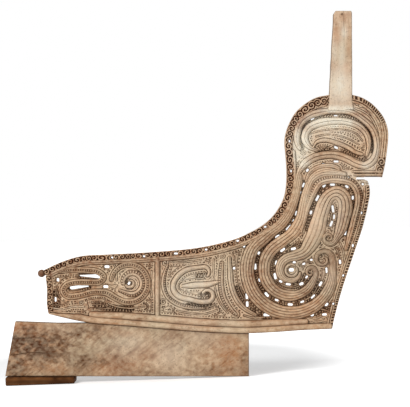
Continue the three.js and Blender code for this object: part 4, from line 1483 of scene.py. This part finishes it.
class PROW_OT_bands(bpy.types.Operator):
    """Raised bands of ridges: the scrolls, the head, the serpent and the middle panel"""
    bl_idname = "prow.make_bands"
    bl_label = "Carve the bands"

    def execute(self, context):
        for seed, (name, (line, half, ridges)) in enumerate(BAND_LINES.items()):
            carved_band(name, line, half, ridges, *PROFILES["band"], shared(board_wood), seed,
                        beaded=BEADED.get(name))
        return {"FINISHED"}


class PROW_OT_edges(bpy.types.Operator):
    """Strips that edge the board, cut with running scrolls and teeth, and the knob"""
    bl_idname = "prow.make_edges"
    bl_label = "Carve the edges"

    def execute(self, context):
        wood = shared(board_wood)
        for seed, name in enumerate(STRIP_CUTS, start=40):
            edge_strip(name, wood, seed)
        carved_band("rim_ridge", *STRIPS["rim_ridge"], 2, *PROFILES["rim_ridge"], wood, 31)
        knob_piece(wood)
        return {"FINISHED"}


class PROW_OT_foot(bpy.types.Operator):
    """Two plain ridges along the foot of the board"""
    bl_idname = "prow.make_foot"
    bl_label = "Cut the foot moulding"

    def execute(self, context):
        for seed, name in enumerate(("foot_lower", "foot_upper"), start=51):
            carved_band(name, *STRIPS[name], 1, *PROFILES[name], shared(board_wood), seed,
                        end_round=0.5, wander=0.01, edge_shade=0.6)
        return {"FINISHED"}


class PROW_OT_post(bpy.types.Operator):
    """Plain tapering post on the crown of the head"""
    bl_idname = "prow.make_post"
    bl_label = "Raise the post"

    def execute(self, context):
        post_piece(shared(post_wood))
        return {"FINISHED"}


class PROW_OT_tongue(bpy.types.Operator):
    """Adzed hull tongue under the board, and its pins"""
    bl_idname = "prow.make_tongue"
    bl_label = "Adze the tongue"

    def execute(self, context):
        tongue_piece(shared(tongue_wood))
        for name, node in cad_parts.items():
            if name.startswith("treenail"):
                node.data.materials.clear()
                node.data.materials.append(shared(pin_wood))
        return {"FINISHED"}


class PROW_OT_block(bpy.types.Operator):
    """Worn wedge under the tongue's tail"""
    bl_idname = "prow.make_block"
    bl_label = "Set the prop block"

    def execute(self, context):
        block_piece(shared(block_wood))
        return {"FINISHED"}


OPERATORS = (PROW_OT_stage, PROW_OT_ground, PROW_OT_bands, PROW_OT_edges, PROW_OT_foot,
             PROW_OT_post, PROW_OT_tongue, PROW_OT_block)


class PROW_PT_panel(bpy.types.Panel):
    """Sizes, colours and the pieces of the prow board"""
    bl_label = "Prow board"
    bl_idname = "PROW_PT_panel"
    bl_space_type = "VIEW_3D"
    bl_region_type = "UI"
    bl_category = "Prow board"

    def draw(self, context):
        for values in (context.scene.prow_sizes, context.scene.prow_colours):
            for name in values.__annotations__:
                self.layout.prop(values, name)
        for operator in OPERATORS:
            self.layout.operator(operator.bl_idname)


CLASSES = (ProwSizes, ProwColours, *OPERATORS, PROW_PT_panel)


def register():
    """Adds the classes, and the sizes and colours to the scene."""
    for made in CLASSES:
        bpy.utils.register_class(made)
    bpy.types.Scene.prow_sizes = PointerProperty(type=ProwSizes)
    bpy.types.Scene.prow_colours = PointerProperty(type=ProwColours)


def unregister():
    """Takes away all that register adds."""
    del bpy.types.Scene.prow_colours
    del bpy.types.Scene.prow_sizes
    for made in reversed(CLASSES):
        bpy.utils.unregister_class(made)


def main():
    """Runs every operator in order."""
    register()
    for operator in OPERATORS:
        category, name = operator.bl_idname.split(".")
        getattr(getattr(bpy.ops, category), name)()


if __name__ == "__main__":
    main()
